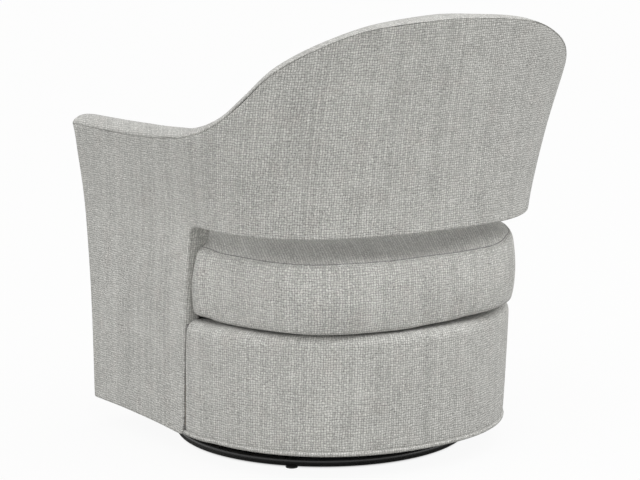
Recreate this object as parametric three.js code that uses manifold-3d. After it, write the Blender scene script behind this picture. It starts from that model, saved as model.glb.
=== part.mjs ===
// A swivel rocker: a barrel chair on a round steel base, which turns on a bearing and rocks on springs.
// Millimetres, +Z up. The sitter faces -Y, the sitter's left hand is towards +X,
// and the swivel axis is at X = 0, Y = 0 until the last lines centre the whole chair.
import * as THREE from 'three';
import { mergeVertices } from 'three/addons/utils/BufferGeometryUtils.js';
import Module from 'manifold-3d';

const wasm = await Module();
wasm.setup();

// Clearances
const JOIN_GAP = 0.3;
const LAYER_GAP = 0.6;
const RUNNING_GAP = 0.4;
const ROCK_GAP = 1;

// Base on the floor
const RING_RADIUS = 281;
const RING_TUBE = 19;
const GLIDE_HEIGHT = 2.2;
const GLIDE_RADIUS = 11;
const BASE_BAR_WIDTH = 40;
const BASE_BAR_THICKNESS = 6;
const LOWER_PLATE_RADIUS = 100;
const PLATE_THICKNESS = 4;
const BEARING_RADIUS = 75;
const BEARING_HEIGHT = 10;
const BOLT_RADIUS = 6;
const BOLT_HEAD_RADIUS = 11;
const BOLT_HEAD_HEIGHT = 5;
const NUT_RADIUS = 10;
const NUT_HEIGHT = 8;

// Rocker between swivel and chair
const UPPER_PLATE_WIDTH = 236;
const UPPER_PLATE_LENGTH = 250;
const PLATE_CORNER = 14;
const PIVOT_RISE = 84;
const ROD_RADIUS = 6;
const BRACKET_WIDTH = 60;
const BRACKET_THICKNESS = 5;
const BRACKET_SPACING = 200;
const BRACKET_EYE = 14;
const HANGER_RISE = 18;
const SPRING_SPACING_ACROSS = 130;
const SPRING_SETBACK = 40;
const SPRING_RADIUS = 21;
const SPRING_WIRE = 4.6;
const SPRING_TURNS = 5;
const STOP_SETBACK = 17;
const STOP_RADIUS = 9;
const STOP_TIP_RADIUS = 6;
const ROCK_DEGREES = 4.5;

// Heights of the chair, stacked from the ring up
const UNDER_GAP = 26.3;
const SEAT_BOX_HEIGHT = 214;
const CUSHION_BAND = 126.5;
const WINDOW_RISE = 48;
const ARM_RISE = 153;
const BACK_RISE = 228;
const RIM_CROWN = 12.4;
const RIM_DROP = 26;
const CREST_INSET = 30;

// Plan of the chair
const CUSHION_HALF_WIDTH = 291;
const CUSHION_REAR = 346;
const CUSHION_FRONT = 303;
const CUSHION_BULGE = 6;
const CUSHION_CROWN = 23;
const CUSHION_SIDE_GAP = 0.8;
const WELT = 7;
const SIDE_WALL_AT_DECK = 32.2;
const SIDE_DRAW_IN = 11;
const SIDE_WALL_AT_EDGE = 36;
const SIDE_FLARE = 116;
const FLARE_HEIGHT = 398;
const FRONT_WALL_LOW = 43;
const FRONT_FLARE = 34.6;
const FRONT_REACH = 294;
const FRONT_LEAN = 11.6;
const JAMB_LOW = 18;
const JAMB_HIGH = 75;
const BASE_REAR_LOW = 349;
const BASE_REAR_DECK = 359.7;
const SHELL_REAR = 363.4;
const BACK_FLARE = 64;
const BACK_WALL = 72;
const BACK_RECLINE = 40;

// Layers of the upholstered walls
const COVER_THICKNESS = 3;
const FRAME_THICKNESS = 16;
const BAND_THICKNESS = 12;
const POST_WIDTH = 36;
const TOP_RAIL_HEIGHT = 48;
const BOTTOM_RAIL_HEIGHT = 46;
const RIM_PAD = 30;
const BOARD_THICKNESS = 18;
const FRONT_BOARD_THICKNESS = 18;
const FRONT_SETBACK = 6;
const BASE_WELT = 9;
const DUST_CLOTH = 1.6;
const WEBBING_THICKNESS = 2.4;
const WEBBING_WIDTH = 60;
const WEBBING_SPACING = 130;
const DECK_PAD_THICKNESS = 15;
const RAIL_THICKNESS = 45;
const BOARD_OPENING = 150;
const EDGE_ROUND = 10;

// Heights and places worked out from the sizes above
const ringCentre = GLIDE_HEIGHT + JOIN_GAP + RING_TUBE / 2;
const ringTop = ringCentre + RING_TUBE / 2;
const ringInner = RING_RADIUS - RING_TUBE;
const barBottom = ringCentre - BASE_BAR_THICKNESS / 2;
const barTop = barBottom + BASE_BAR_THICKNESS;
const lowerPlateBottom = barTop + JOIN_GAP;
const bearingBottom = lowerPlateBottom + PLATE_THICKNESS + JOIN_GAP;
const upperPlateBottom = bearingBottom + BEARING_HEIGHT + JOIN_GAP;
const upperPlateTop = upperPlateBottom + PLATE_THICKNESS;
const pivotHeight = upperPlateTop + PIVOT_RISE;
const rockerPlateBottom = pivotHeight + HANGER_RISE;
const rockerPlateTop = rockerPlateBottom + PLATE_THICKNESS;
const underside = ringTop + UNDER_GAP;
const deck = underside + SEAT_BOX_HEIGHT;
const cushionBottom = deck + JOIN_GAP;
const seamLow = cushionBottom + WELT / 2;
const seamHigh = seamLow + CUSHION_BAND;
const shellEdge = seamHigh + WINDOW_RISE;
const armRim = shellEdge + ARM_RISE;
const backRim = armRim + BACK_RISE;
const innerHalf = CUSHION_HALF_WIDTH + CUSHION_BULGE + CUSHION_SIDE_GAP;
const frameNear = COVER_THICKNESS + LAYER_GAP;
const frameFar = frameNear + FRAME_THICKNESS;
const padNear = frameFar + LAYER_GAP;
const frameLow = underside + BASE_WELT + JOIN_GAP;
const topBoardTop = deck - DECK_PAD_THICKNESS - WEBBING_THICKNESS - 3 * JOIN_GAP;
const topBoardLow = topBoardTop - BOARD_THICKNESS;
const seatFront = FRONT_SETBACK - FRONT_REACH;
const armLength = JAMB_HIGH + FRONT_REACH;
const springSpacingAlong = UPPER_PLATE_LENGTH - 2 * SPRING_SETBACK;
const stopSpacing = UPPER_PLATE_LENGTH - 2 * STOP_SETBACK;

// Shares that shape the curves
const RIM_SHARES = [
  [0, 0], [0.35, 0], [0.7, 0.016], [1, 0.055], [1.12, 0.111], [1.24, 0.209],
  [1.36, 0.373], [1.5, 0.616], [1.65, 0.797], [1.82, 0.944], [2, 1],
];
const CREST_SHARES = [0, 0.08, 0.2, 0.4, 0.6, 0.8, 0.94, 1];
const BAND_SHARES = [0.12, 0.35, 0.65, 0.88];
const SIDE_FLARE_POWER = 1.19;
const BACK_FLARE_POWER = 1.5;
const FRONT_FLARE_POWER = 3.27;
const BASE_LOW_ROUNDNESS = 2.22;
const BASE_DECK_ROUNDNESS = 2.05;
const SHELL_ROUNDNESS = 2.62;
const INSIDE_ROUNDNESS = 2.4;
const CUSHION_REAR_ROUNDNESS = 2.8;
const CUSHION_FRONT_ROUNDNESS = 8;
const BEND_SHARE = 0.01;
const SLAT_SHARE = 0.1;

// Numbers of steps up the slat, the back's cover and its padding
const SLAT_RISES = 5;
const COVER_RISES = 7;
const PAD_RISES = 6;

const STEEL_BLACK = { color: 0x121110, roughness: 0.3, metalness: 0.6 };
const STEEL = { color: 0x8d8f90, roughness: 0.4, metalness: 0.9 };
const NYLON = { color: 0x1b1b1b, roughness: 0.6, metalness: 0 };
const RUBBER = { color: 0x242424, roughness: 0.9, metalness: 0 };
const SPRING_STEEL = { color: 0x55585b, roughness: 0.35, metalness: 0.9 };
const WOOD = { color: 0xb98f5e, roughness: 0.7, metalness: 0 };
const PLYWOOD = { color: 0xc9a878, roughness: 0.75, metalness: 0 };
const WEB = { color: 0x6f5a41, roughness: 0.95, metalness: 0 };
const CLOTH = { color: 0xb3b1aa, roughness: 0.95, metalness: 0 };
const PADDING = { color: 0xa9a7a1, roughness: 0.95, metalness: 0 };
const DUST = { color: 0x1c1c1d, roughness: 1, metalness: 0 };

const chair = new THREE.Group();

// A named mesh of its own material, added to the chair
function piece(name, geometry, look) {
  const mesh = new THREE.Mesh(geometry, new THREE.MeshStandardMaterial(look));
  mesh.name = name;
  chair.add(mesh);
}

function clamp(value, low, high) {
  return Math.min(Math.max(value, low), high);
}

function mix(a, b, share) {
  return a + (b - a) * share;
}

// Counts from low to high in equal steps
function steps(low, high, count) {
  return Array.from({ length: count + 1 }, (_, i) => mix(low, high, i / count));
}

// The first whole numbers from 0
function upTo(count) {
  return Array.from({ length: count }, (_, i) => i);
}

// A smooth curve through rows of [place, value] that never overshoots them
function smoothTable(rows) {
  const slopes = rows.slice(1).map(([x, y], i) => (y - rows[i][1]) / (x - rows[i][0]));
  const tangents = rows.map((_, i) => {
    const before = slopes[i - 1];
    const after = slopes[i];
    if (before === undefined || after === undefined) return before ?? after;
    return before * after <= 0 ? 0 : (2 * before * after) / (before + after);
  });
  return (x) => {
    const last = rows.length - 1;
    if (x <= rows[0][0]) return rows[0][1];
    if (x >= rows[last][0]) return rows[last][1];
    const i = rows.findIndex((row) => row[0] > x) - 1;
    const width = rows[i + 1][0] - rows[i][0];
    const t = (x - rows[i][0]) / width;
    const rest = 1 - t;
    return rows[i][1] * (1 + 2 * t) * rest * rest
      + rows[i + 1][1] * t * t * (3 - 2 * t)
      + width * t * rest * (tangents[i] * rest - tangents[i + 1] * t);
  };
}

// The wall of the chair. A column runs from 0 at the arm's front to 1 at the window's jamb,
// 2 at the middle of the back, and on to 4 at the other arm's front.
const rimShare = smoothTable(RIM_SHARES);
const sideHalf = smoothTable([
  [underside, innerHalf + SIDE_WALL_AT_DECK - SIDE_DRAW_IN],
  [deck, innerHalf + SIDE_WALL_AT_DECK],
  [shellEdge, innerHalf + SIDE_WALL_AT_EDGE],
]);
const rearReach = smoothTable([[underside, BASE_REAR_LOW], [deck, BASE_REAR_DECK], [shellEdge, SHELL_REAR]]);
const roundness = smoothTable([
  [underside, BASE_LOW_ROUNDNESS],
  [deck, BASE_DECK_ROUNDNESS],
  [shellEdge, SHELL_ROUNDNESS],
]);
const jambLine = smoothTable([[underside, JAMB_LOW], [shellEdge, JAMB_HIGH]]);

function mirrorColumn(column) {
  return column > 2 ? 4 - column : column;
}

function rimHeight(column) {
  return mix(armRim, backRim, rimShare(mirrorColumn(column)));
}

function flareShare(z, power) {
  return Math.pow(Math.max(z - shellEdge, 0) / FLARE_HEIGHT, power);
}

function frontY(z) {
  return -(FRONT_REACH + FRONT_LEAN * (z - underside) / (armRim - underside));
}

function frontHalf(z) {
  const rise = Math.max(z - underside, 0) / (armRim - underside);
  return innerHalf + FRONT_WALL_LOW + FRONT_FLARE * Math.pow(rise, FRONT_FLARE_POWER);
}

// A point of a rounded quarter, from the side at share 0 to the middle at share 1
function quarter(half, reach, power, share) {
  const angle = share * Math.PI / 2;
  const across = half * Math.pow(Math.max(Math.cos(angle), 0), 2 / power);
  const along = reach * Math.pow(Math.sin(angle), 2 / power);
  return [across, along];
}

function wallSide(z) {
  return sideHalf(z) + SIDE_FLARE * flareShare(z, SIDE_FLARE_POWER);
}

function wallRear(z) {
  return rearReach(z) + BACK_FLARE * flareShare(z, BACK_FLARE_POWER);
}

// Outer face of the wall
function outerPoint(column, z) {
  const jamb = jambLine(z);
  if (column <= 1) {
    const x = mix(frontHalf(z), wallSide(z), column);
    return new THREE.Vector2(x, mix(frontY(z), jamb, column));
  }
  const [x, y] = quarter(wallSide(z), wallRear(z) - jamb, roundness(z), column - 1);
  return new THREE.Vector2(x, jamb + y);
}

// Inner face of the wall: straight beside the cushion, round and reclined behind the sitter
function innerPoint(column, z) {
  const jamb = jambLine(z);
  const outer = outerPoint(column, z);
  if (column <= 1) return new THREE.Vector2(innerHalf, outer.y);
  if (z < shellEdge) {
    const inset = BACK_WALL;
    const [x, y] = quarter(wallSide(z) - inset, wallRear(z) - jamb - inset, roundness(z), column - 1);
    return new THREE.Vector2(x, jamb + y);
  }
  const rear = SHELL_REAR - BACK_WALL + BACK_RECLINE * (z - shellEdge) / (backRim - shellEdge);
  const [x, y] = quarter(innerHalf, rear - jamb, INSIDE_ROUNDNESS, column - 1);
  return new THREE.Vector2(x, jamb + y);
}

function wallThickness(column, z) {
  const near = mirrorColumn(column);
  return outerPoint(near, z).distanceTo(innerPoint(near, z));
}

// A point at a depth inside the wall, measured from its outer face
function wallPoint(column, depth, z) {
  const near = mirrorColumn(column);
  const outer = outerPoint(near, z);
  const inward = innerPoint(near, z).sub(outer).normalize();
  const place = outer.addScaledVector(inward, depth);
  return new THREE.Vector3(column > 2 ? -place.x : place.x, place.y, z);
}

// The padded top edge: how far it stands above the seam at a share of the wall's thickness
function crestRise(share, thickness) {
  const depth = share * thickness;
  const inset = Math.min(CREST_INSET, thickness / 2);
  if (depth <= inset) {
    const climb = 1 - depth / inset;
    return RIM_CROWN * (1 - climb * climb);
  }
  const fall = (depth - inset) / (thickness - inset);
  return RIM_CROWN - (RIM_CROWN + RIM_DROP) * (1 - Math.sqrt(Math.max(1 - fall * fall, 0)));
}

// Triangles of an outline. Points along a straight run would be left out, so it is bent slightly first
function filledEnd(straight) {
  const size = new THREE.Box2().setFromPoints(straight).getSize(new THREE.Vector2()).length();
  const bend = BEND_SHARE / size;
  const flat = straight.map(({ x, y }) => new THREE.Vector2(x + bend * y * y, y + bend * x * x));
  const turn = Math.sign(THREE.ShapeUtils.area(flat));
  return THREE.ShapeUtils.triangulateShape(flat, []).map(([p, q, r]) => {
    const same = Math.sign(THREE.ShapeUtils.area([flat[p], flat[q], flat[r]])) === turn;
    return same ? [p, q, r] : [p, r, q];
  });
}

// Triangles of a thin outline, whose way out and way back lie side by side point by point
function strip(first, last, count) {
  return upTo(count - 1).flatMap((i) => [
    [first + i, first + i + 1, last - i - 1],
    [first + i, last - i - 1, last - i],
  ]);
}

// A closed solid through loops of points that all have the same count
function loft(loops, end) {
  const count = loops[0].length;
  const positions = loops.flat().flatMap((p) => [p.x, p.y, p.z]);
  const faces = [];
  for (let s = 0; s + 1 < loops.length; s++) {
    for (let i = 0; i < count; i++) {
      const a = s * count + i;
      const b = s * count + (i + 1) % count;
      faces.push(a, b, b + count, a, b + count, a + count);
    }
  }
  const last = (loops.length - 1) * count;
  for (const [p, q, r] of end) {
    faces.push(p, r, q);
    faces.push(last + p, last + q, last + r);
  }
  return closedBody(positions, faces);
}

// Turns the faces outwards if their order gives a negative volume
function closedBody(positions, faces) {
  const at = (i) => new THREE.Vector3(positions[3 * i], positions[3 * i + 1], positions[3 * i + 2]);
  let volume = 0;
  for (let i = 0; i < faces.length; i += 3) {
    volume += at(faces[i]).dot(at(faces[i + 1]).cross(at(faces[i + 2])));
  }
  const geometry = new THREE.BufferGeometry();
  geometry.setAttribute('position', new THREE.Float32BufferAttribute(positions, 3));
  geometry.setIndex(volume > 0 ? faces : faces.slice().reverse());
  return geometry;
}

function loopFlat(loop) {
  return loop.map((p) => new THREE.Vector2(p.x, p.y));
}

// A solid of the wall, whose section at each column is a loop of [depth, height]
function wallSolid(columns, section, end) {
  const sections = columns.map((column) => section(column));
  const loops = sections.map((loop, i) => loop.map(([depth, z]) => wallPoint(columns[i], depth, z)));
  const count = loops[0].length;
  return loft(loops, end ?? strip(0, count - 1, count / 2));
}

// Heights of the wall between two levels, which always break where its shape does
function wallLevels(low, high, rises) {
  const marks = [low, ...[deck, shellEdge].filter((z) => z > low && z < high), high];
  const spans = marks.slice(1).map((top, i) => steps(marks[i], top, marks[i] < shellEdge ? 2 : rises));
  return [low, ...spans.flatMap((span) => span.slice(1))];
}

// A band of the wall between two depths and two heights, either of which may follow the rim
function band(near, far, low, high, rises) {
  const heights = (column) => wallLevels(low(column), high(column), rises);
  return (column) => [
    ...heights(column).map((z) => [near, z]),
    ...heights(column).reverse().map((z) => [far, z]),
  ];
}

function level(height) {
  return () => height;
}

function belowRim(drop) {
  return (column) => rimHeight(column) - drop;
}

// The same solid for the other arm
function mirrored(geometry) {
  const other = bareSolid(geometry).scale(-1, 1, 1);
  other.setIndex(Array.from(other.index.array).reverse());
  return other;
}

// The same faces with shared corners and nothing but positions
function bareSolid(geometry) {
  const bare = geometry.clone();
  bare.deleteAttribute('normal');
  bare.deleteAttribute('uv');
  return mergeVertices(bare);
}

function pair(name, geometry, look) {
  piece(name + '_left', geometry, look);
  piece(name + '_right', mirrored(geometry), look);
}

// Boolean helpers: three.js solids in, three.js solid out
function toManifold(geometry) {
  const merged = bareSolid(geometry);
  return new wasm.Manifold(new wasm.Mesh({
    numProp: 3,
    vertProperties: Float32Array.from(merged.attributes.position.array),
    triVerts: Uint32Array.from(merged.index.array),
  }));
}

function fromManifold(solid) {
  const mesh = solid.getMesh();
  const geometry = new THREE.BufferGeometry();
  geometry.setAttribute('position', new THREE.Float32BufferAttribute(mesh.vertProperties, 3));
  geometry.setIndex(Array.from(mesh.triVerts));
  return geometry;
}

function join(...geometries) {
  return fromManifold(geometries.map(toManifold).reduce((whole, part) => whole.add(part)));
}

// Simple solids, standing on a height
function block(x0, x1, y0, y1, z0, z1) {
  const box = new THREE.BoxGeometry(x1 - x0, y1 - y0, z1 - z0);
  return box.translate((x0 + x1) / 2, (y0 + y1) / 2, (z0 + z1) / 2);
}

function turned(profile, sides) {
  const points = profile.map(([radius, z]) => new THREE.Vector2(radius, z));
  return new THREE.LatheGeometry(points, sides).rotateX(Math.PI / 2);
}

function slab(outline, z0, z1, holes = []) {
  const clockwise = THREE.ShapeUtils.isClockWise(outline);
  const shape = new THREE.Shape(clockwise ? outline.slice().reverse() : outline);
  shape.holes = holes;
  const plate = new THREE.ExtrudeGeometry(shape, { depth: z1 - z0, bevelEnabled: false, curveSegments: 10 });
  return plate.translate(0, 0, z0);
}

// A round hole of 20 sides, turned by half a side so that no corner lies on an axis
function roundHole(radius) {
  const corners = upTo(20).map((k) => new THREE.Vector2(
    radius * Math.cos((k + 0.5) * Math.PI / 10),
    -radius * Math.sin((k + 0.5) * Math.PI / 10),
  ));
  return new THREE.Path(corners);
}

function roundedPlate(width, length, corner) {
  const [x, y] = [width / 2, length / 2];
  const shape = new THREE.Shape();
  shape.absarc(x - corner, y - corner, corner, 0, Math.PI / 2);
  shape.absarc(corner - x, y - corner, corner, Math.PI / 2, Math.PI);
  shape.absarc(corner - x, corner - y, corner, Math.PI, 1.5 * Math.PI);
  shape.absarc(x - corner, corner - y, corner, 1.5 * Math.PI, 2 * Math.PI);
  return shape.getPoints(3);
}

// Base ring: a bent steel tube, with bars welded across it
function makeBase() {
  const ringPath = RING_RADIUS - RING_TUBE / 2;
  const ring = new THREE.TorusGeometry(ringPath, RING_TUBE / 2, 12, 60).translate(0, 0, ringCentre);
  piece('base_ring', ring, STEEL_BLACK);

  const barHalf = BASE_BAR_WIDTH / 2;
  const barReach = Math.sqrt(ringInner * ringInner - barHalf * barHalf) - JOIN_GAP;
  const along = [[-barHalf, -barReach], [barHalf, -barReach], [barHalf, barReach], [-barHalf, barReach]];
  const outline = along.map(([x, y]) => new THREE.Vector2(x, y));
  const boltHole = roundHole(BOLT_RADIUS + JOIN_GAP);
  piece('base_bar_long', slab(outline, barBottom, barTop, [boltHole]), STEEL_BLACK);
  const sideBar = block(barHalf + JOIN_GAP, barReach, -barHalf, barHalf, barBottom, barTop);
  piece('base_bar_left', sideBar, STEEL_BLACK);
  piece('base_bar_right', sideBar.clone().rotateZ(Math.PI), STEEL_BLACK);

  for (let i = 0; i < 4; i++) {
    const angle = (i + 0.5) * Math.PI / 2;
    const glide = turned([[0, 0], [GLIDE_RADIUS, 0], [GLIDE_RADIUS, GLIDE_HEIGHT], [0, GLIDE_HEIGHT]], 20);
    glide.translate(ringPath * Math.cos(angle), ringPath * Math.sin(angle), 0);
    piece(`floor_glide_${i + 1}`, glide, NYLON);
  }
}

// Swivel bearing: a fixed plate, a ring of bearing, and the bolt that holds the turning plate down
function makeBearing() {
  const hole = BOLT_RADIUS + JOIN_GAP;
  const lowerTop = lowerPlateBottom + PLATE_THICKNESS;
  piece('lower_swivel_plate', turned([
    [hole, lowerPlateBottom],
    [LOWER_PLATE_RADIUS, lowerPlateBottom],
    [LOWER_PLATE_RADIUS, lowerTop],
    [hole, lowerTop],
    [hole, lowerPlateBottom],
  ], 40), STEEL);

  const race = BEARING_HEIGHT / 2;
  const bearing = new THREE.TorusGeometry(BEARING_RADIUS, race, 8, 36);
  piece('bearing_ring', bearing.translate(0, 0, bearingBottom + race), STEEL);

  const headTop = barBottom - JOIN_GAP;
  const nutBottom = upperPlateTop + JOIN_GAP;
  const boltTop = nutBottom + NUT_HEIGHT;
  piece('centre_bolt', turned([
    [0, headTop - BOLT_HEAD_HEIGHT],
    [BOLT_HEAD_RADIUS, headTop - BOLT_HEAD_HEIGHT],
    [BOLT_HEAD_RADIUS, headTop],
    [BOLT_RADIUS, headTop],
    [BOLT_RADIUS, boltTop],
    [0, boltTop],
  ], 20), STEEL);
  const flats = new THREE.Shape(upTo(6).map((i) => new THREE.Vector2(
    NUT_RADIUS * Math.cos(i * Math.PI / 3),
    NUT_RADIUS * Math.sin(i * Math.PI / 3),
  )));
  piece('centre_nut', slab(flats.getPoints(), nutBottom, boltTop, [roundHole(hole)]), STEEL);
}

// Turning part of the rocker: plate, brackets, rod and stops
function makeSwivel() {
  const hole = roundHole(BOLT_RADIUS + RUNNING_GAP);
  const outline = roundedPlate(UPPER_PLATE_WIDTH, UPPER_PLATE_LENGTH, PLATE_CORNER);
  piece('upper_swivel_plate', slab(outline, upperPlateBottom, upperPlateTop, [hole]), STEEL);

  const bracketFoot = upperPlateTop + JOIN_GAP;
  const inner = BRACKET_SPACING / 2;
  const bracket = eyePlate(bracketFoot, pivotHeight, inner, ROD_RADIUS + JOIN_GAP);
  pair('pivot_bracket', bracket, STEEL);

  const rodHalf = inner + BRACKET_THICKNESS + ROD_RADIUS;
  const rod = new THREE.CylinderGeometry(ROD_RADIUS, ROD_RADIUS, 2 * rodHalf, 20).rotateZ(Math.PI / 2);
  piece('pivot_rod', rod.translate(0, 0, pivotHeight), STEEL);

  const lever = stopSpacing / 2;
  const angle = THREE.MathUtils.degToRad(ROCK_DEGREES);
  const reach = lever + STOP_TIP_RADIUS;
  const stopTop = pivotHeight + HANGER_RISE * Math.cos(angle) - reach * Math.sin(angle) - ROCK_GAP;
  for (const [name, side] of [['front', -1], ['rear', 1]]) {
    const stop = turned([
      [0, bracketFoot],
      [STOP_RADIUS, bracketFoot],
      [STOP_RADIUS, stopTop - STOP_RADIUS],
      [STOP_TIP_RADIUS, stopTop],
      [0, stopTop],
    ], 16);
    piece(`bump_stop_${name}`, stop.translate(0, side * lever, 0), RUBBER);
  }
}

// An upright steel plate with a round eye for the rod; its flat side is at x
function eyePlate(edge, centre, x, eyeHole) {
  const half = BRACKET_WIDTH / 2;
  const away = edge < centre ? 1 : -1;
  const eye = steps(0, Math.PI, 10).map((angle) => new THREE.Vector2(
    BRACKET_EYE * Math.cos(angle),
    BRACKET_EYE * Math.sin(angle) * away,
  ));
  const outline = [new THREE.Vector2(-half, edge - centre), new THREE.Vector2(half, edge - centre), ...eye];
  const plate = slab(outline, x, x + BRACKET_THICKNESS, [roundHole(eyeHole)]);
  return plate.rotateX(Math.PI / 2).rotateZ(Math.PI / 2).translate(0, 0, centre);
}

// One unbroken wire of round turns, from a flat seat at the bottom to one at the top
function springWire(height) {
  const wire = SPRING_WIRE / 2;
  const stepsPerTurn = 8;
  const sides = 5;
  const total = SPRING_TURNS * stepsPerTurn;
  const lift = height - SPRING_WIRE;
  const centres = upTo(total + 1).map((step) => {
    const angle = step * 2 * Math.PI / stepsPerTurn;
    return new THREE.Vector3(
      SPRING_RADIUS * Math.cos(angle),
      SPRING_RADIUS * Math.sin(angle),
      wire + lift * step / total,
    );
  });
  const ends = [0, total].map((step) => {
    const angle = step * 2 * Math.PI / stepsPerTurn;
    const way = new THREE.Vector3(-Math.sin(angle), Math.cos(angle), 0);
    return way.multiplyScalar(step === 0 ? -SPRING_WIRE : SPRING_WIRE).add(centres[step]);
  });
  const path = [ends[0], ...centres, ends[1]];
  const loops = path.map((centre, i) => {
    const before = path[Math.max(i - 1, 0)];
    const after = path[Math.min(i + 1, path.length - 1)];
    const tangent = after.clone().sub(before).normalize();
    const side = new THREE.Vector3(0, 0, 1).cross(tangent).normalize();
    const up = tangent.clone().cross(side);
    return upTo(sides).map((k) => {
      const angle = k * 2 * Math.PI / sides;
      return centre.clone()
        .addScaledVector(side, wire * Math.cos(angle))
        .addScaledVector(up, wire * Math.sin(angle));
    });
  });
  const flat = upTo(sides).map((k) => new THREE.Vector2(
    Math.cos(k * 2 * Math.PI / sides),
    Math.sin(k * 2 * Math.PI / sides),
  ));
  return { geometry: loft(loops, filledEnd(flat)), gap: leastGap(path, stepsPerTurn / 2) - SPRING_WIRE };
}

// Least distance between points of the wire that are at least a number of steps apart
function leastGap(path, apart) {
  let least = Infinity;
  path.forEach((p, i) => {
    path.slice(i + apart).forEach((q) => {
      least = Math.min(least, p.distanceTo(q));
    });
  });
  return least;
}

function makeSprings() {
  const low = upperPlateTop + JOIN_GAP;
  const height = rockerPlateBottom - JOIN_GAP - low;
  const wire = springWire(height);
  console.log('least gap between turns of a spring', wire.gap.toFixed(2));
  const places = [[1, -1], [-1, -1], [-1, 1], [1, 1]];
  places.forEach(([sideways, lengthways], i) => {
    const spring = wire.geometry.clone();
    spring.translate(sideways * SPRING_SPACING_ACROSS / 2, lengthways * springSpacingAlong / 2, low);
    piece(`rock_spring_${i + 1}`, spring, SPRING_STEEL);
  });
}

// Rocking steel: the plate under the seat and the hangers that turn on the rod
function makeRocker() {
  const outline = roundedPlate(UPPER_PLATE_WIDTH, UPPER_PLATE_LENGTH, PLATE_CORNER);
  piece('rocker_plate', slab(outline, rockerPlateBottom, rockerPlateTop), STEEL);
  const inner = BRACKET_SPACING / 2 - BRACKET_THICKNESS - JOIN_GAP;
  const hanger = eyePlate(rockerPlateBottom - JOIN_GAP, pivotHeight, inner, ROD_RADIUS + RUNNING_GAP);
  pair('rocker_hanger', hanger, STEEL);
}

// Half width of the seat box at a place along the chair, inside the arm's frame
function boxHalf(y, z, depth) {
  const column = clamp((y - frontY(z)) / (jambLine(z) - frontY(z)), 0, 1);
  return outerPoint(column, z).x - depth;
}

// The rounded rear of the seat box at a depth, from one side to the other behind a line across
function rearArc(z, depth, fromY, count) {
  const jamb = jambLine(z);
  const half = wallSide(z) - depth;
  const reach = wallRear(z) - jamb - depth;
  const power = roundness(z);
  const start = Math.asin(Math.pow(clamp((fromY - jamb) / reach, 0, 1), power / 2)) / (Math.PI / 2);
  const left = steps(start, 1, count).map((share) => quarter(half, reach, power, share));
  const points = left.map(([x, y]) => new THREE.Vector2(x, jamb + y));
  const right = points.slice(0, -1).reverse().map((p) => new THREE.Vector2(-p.x, p.y));
  return [...points, ...right];
}

// Boards of the seat box, in front of and behind the opening for the rocker
function makeBoards() {
  const sideDepth = frameFar + LAYER_GAP;
  const rearDepth = frameNear + BAND_THICKNESS + LAYER_GAP;
  for (const [name, low] of [['bottom', frameLow], ['top', topBoardLow]]) {
    const high = low + BOARD_THICKNESS;
    const front = seatFront + frameNear + FRONT_BOARD_THICKNESS + LAYER_GAP;
    const back = -BOARD_OPENING;
    const frontBoard = [
      new THREE.Vector2(boxHalf(front, low, sideDepth), front),
      new THREE.Vector2(boxHalf(back, low, sideDepth), back),
      new THREE.Vector2(-boxHalf(back, low, sideDepth), back),
      new THREE.Vector2(-boxHalf(front, low, sideDepth), front),
    ];
    piece(`seat_${name}_board_front`, slab(frontBoard, low, high), PLYWOOD);
    const rear = rearArc(low, rearDepth, BOARD_OPENING, 9);
    piece(`seat_${name}_board_rear`, slab(rear, low, high), PLYWOOD);
  }

  const railLow = rockerPlateTop + JOIN_GAP;
  const railHigh = topBoardLow - JOIN_GAP;
  const railEdge = UPPER_PLATE_LENGTH / 2;
  const railPlace = railEdge - RAIL_THICKNESS;
  const railHalf = Math.min(boxHalf(-railPlace, railLow, sideDepth), boxHalf(-railEdge, railLow, sideDepth));
  const frontRail = block(-railHalf, railHalf, -railEdge, -railPlace, railLow, railHigh);
  piece('mechanism_rail_front', frontRail, WOOD);
  const rearHalf = rearArc(railLow, rearDepth, railEdge, 1)[0].x - JOIN_GAP;
  const rearRail = block(-rearHalf, rearHalf, railPlace, railEdge, railLow, railHigh);
  piece('mechanism_rail_rear', rearRail, WOOD);
}

const backColumns = steps(1, 3, 32);
const armColumns = steps(0, 1, 8);

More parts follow.
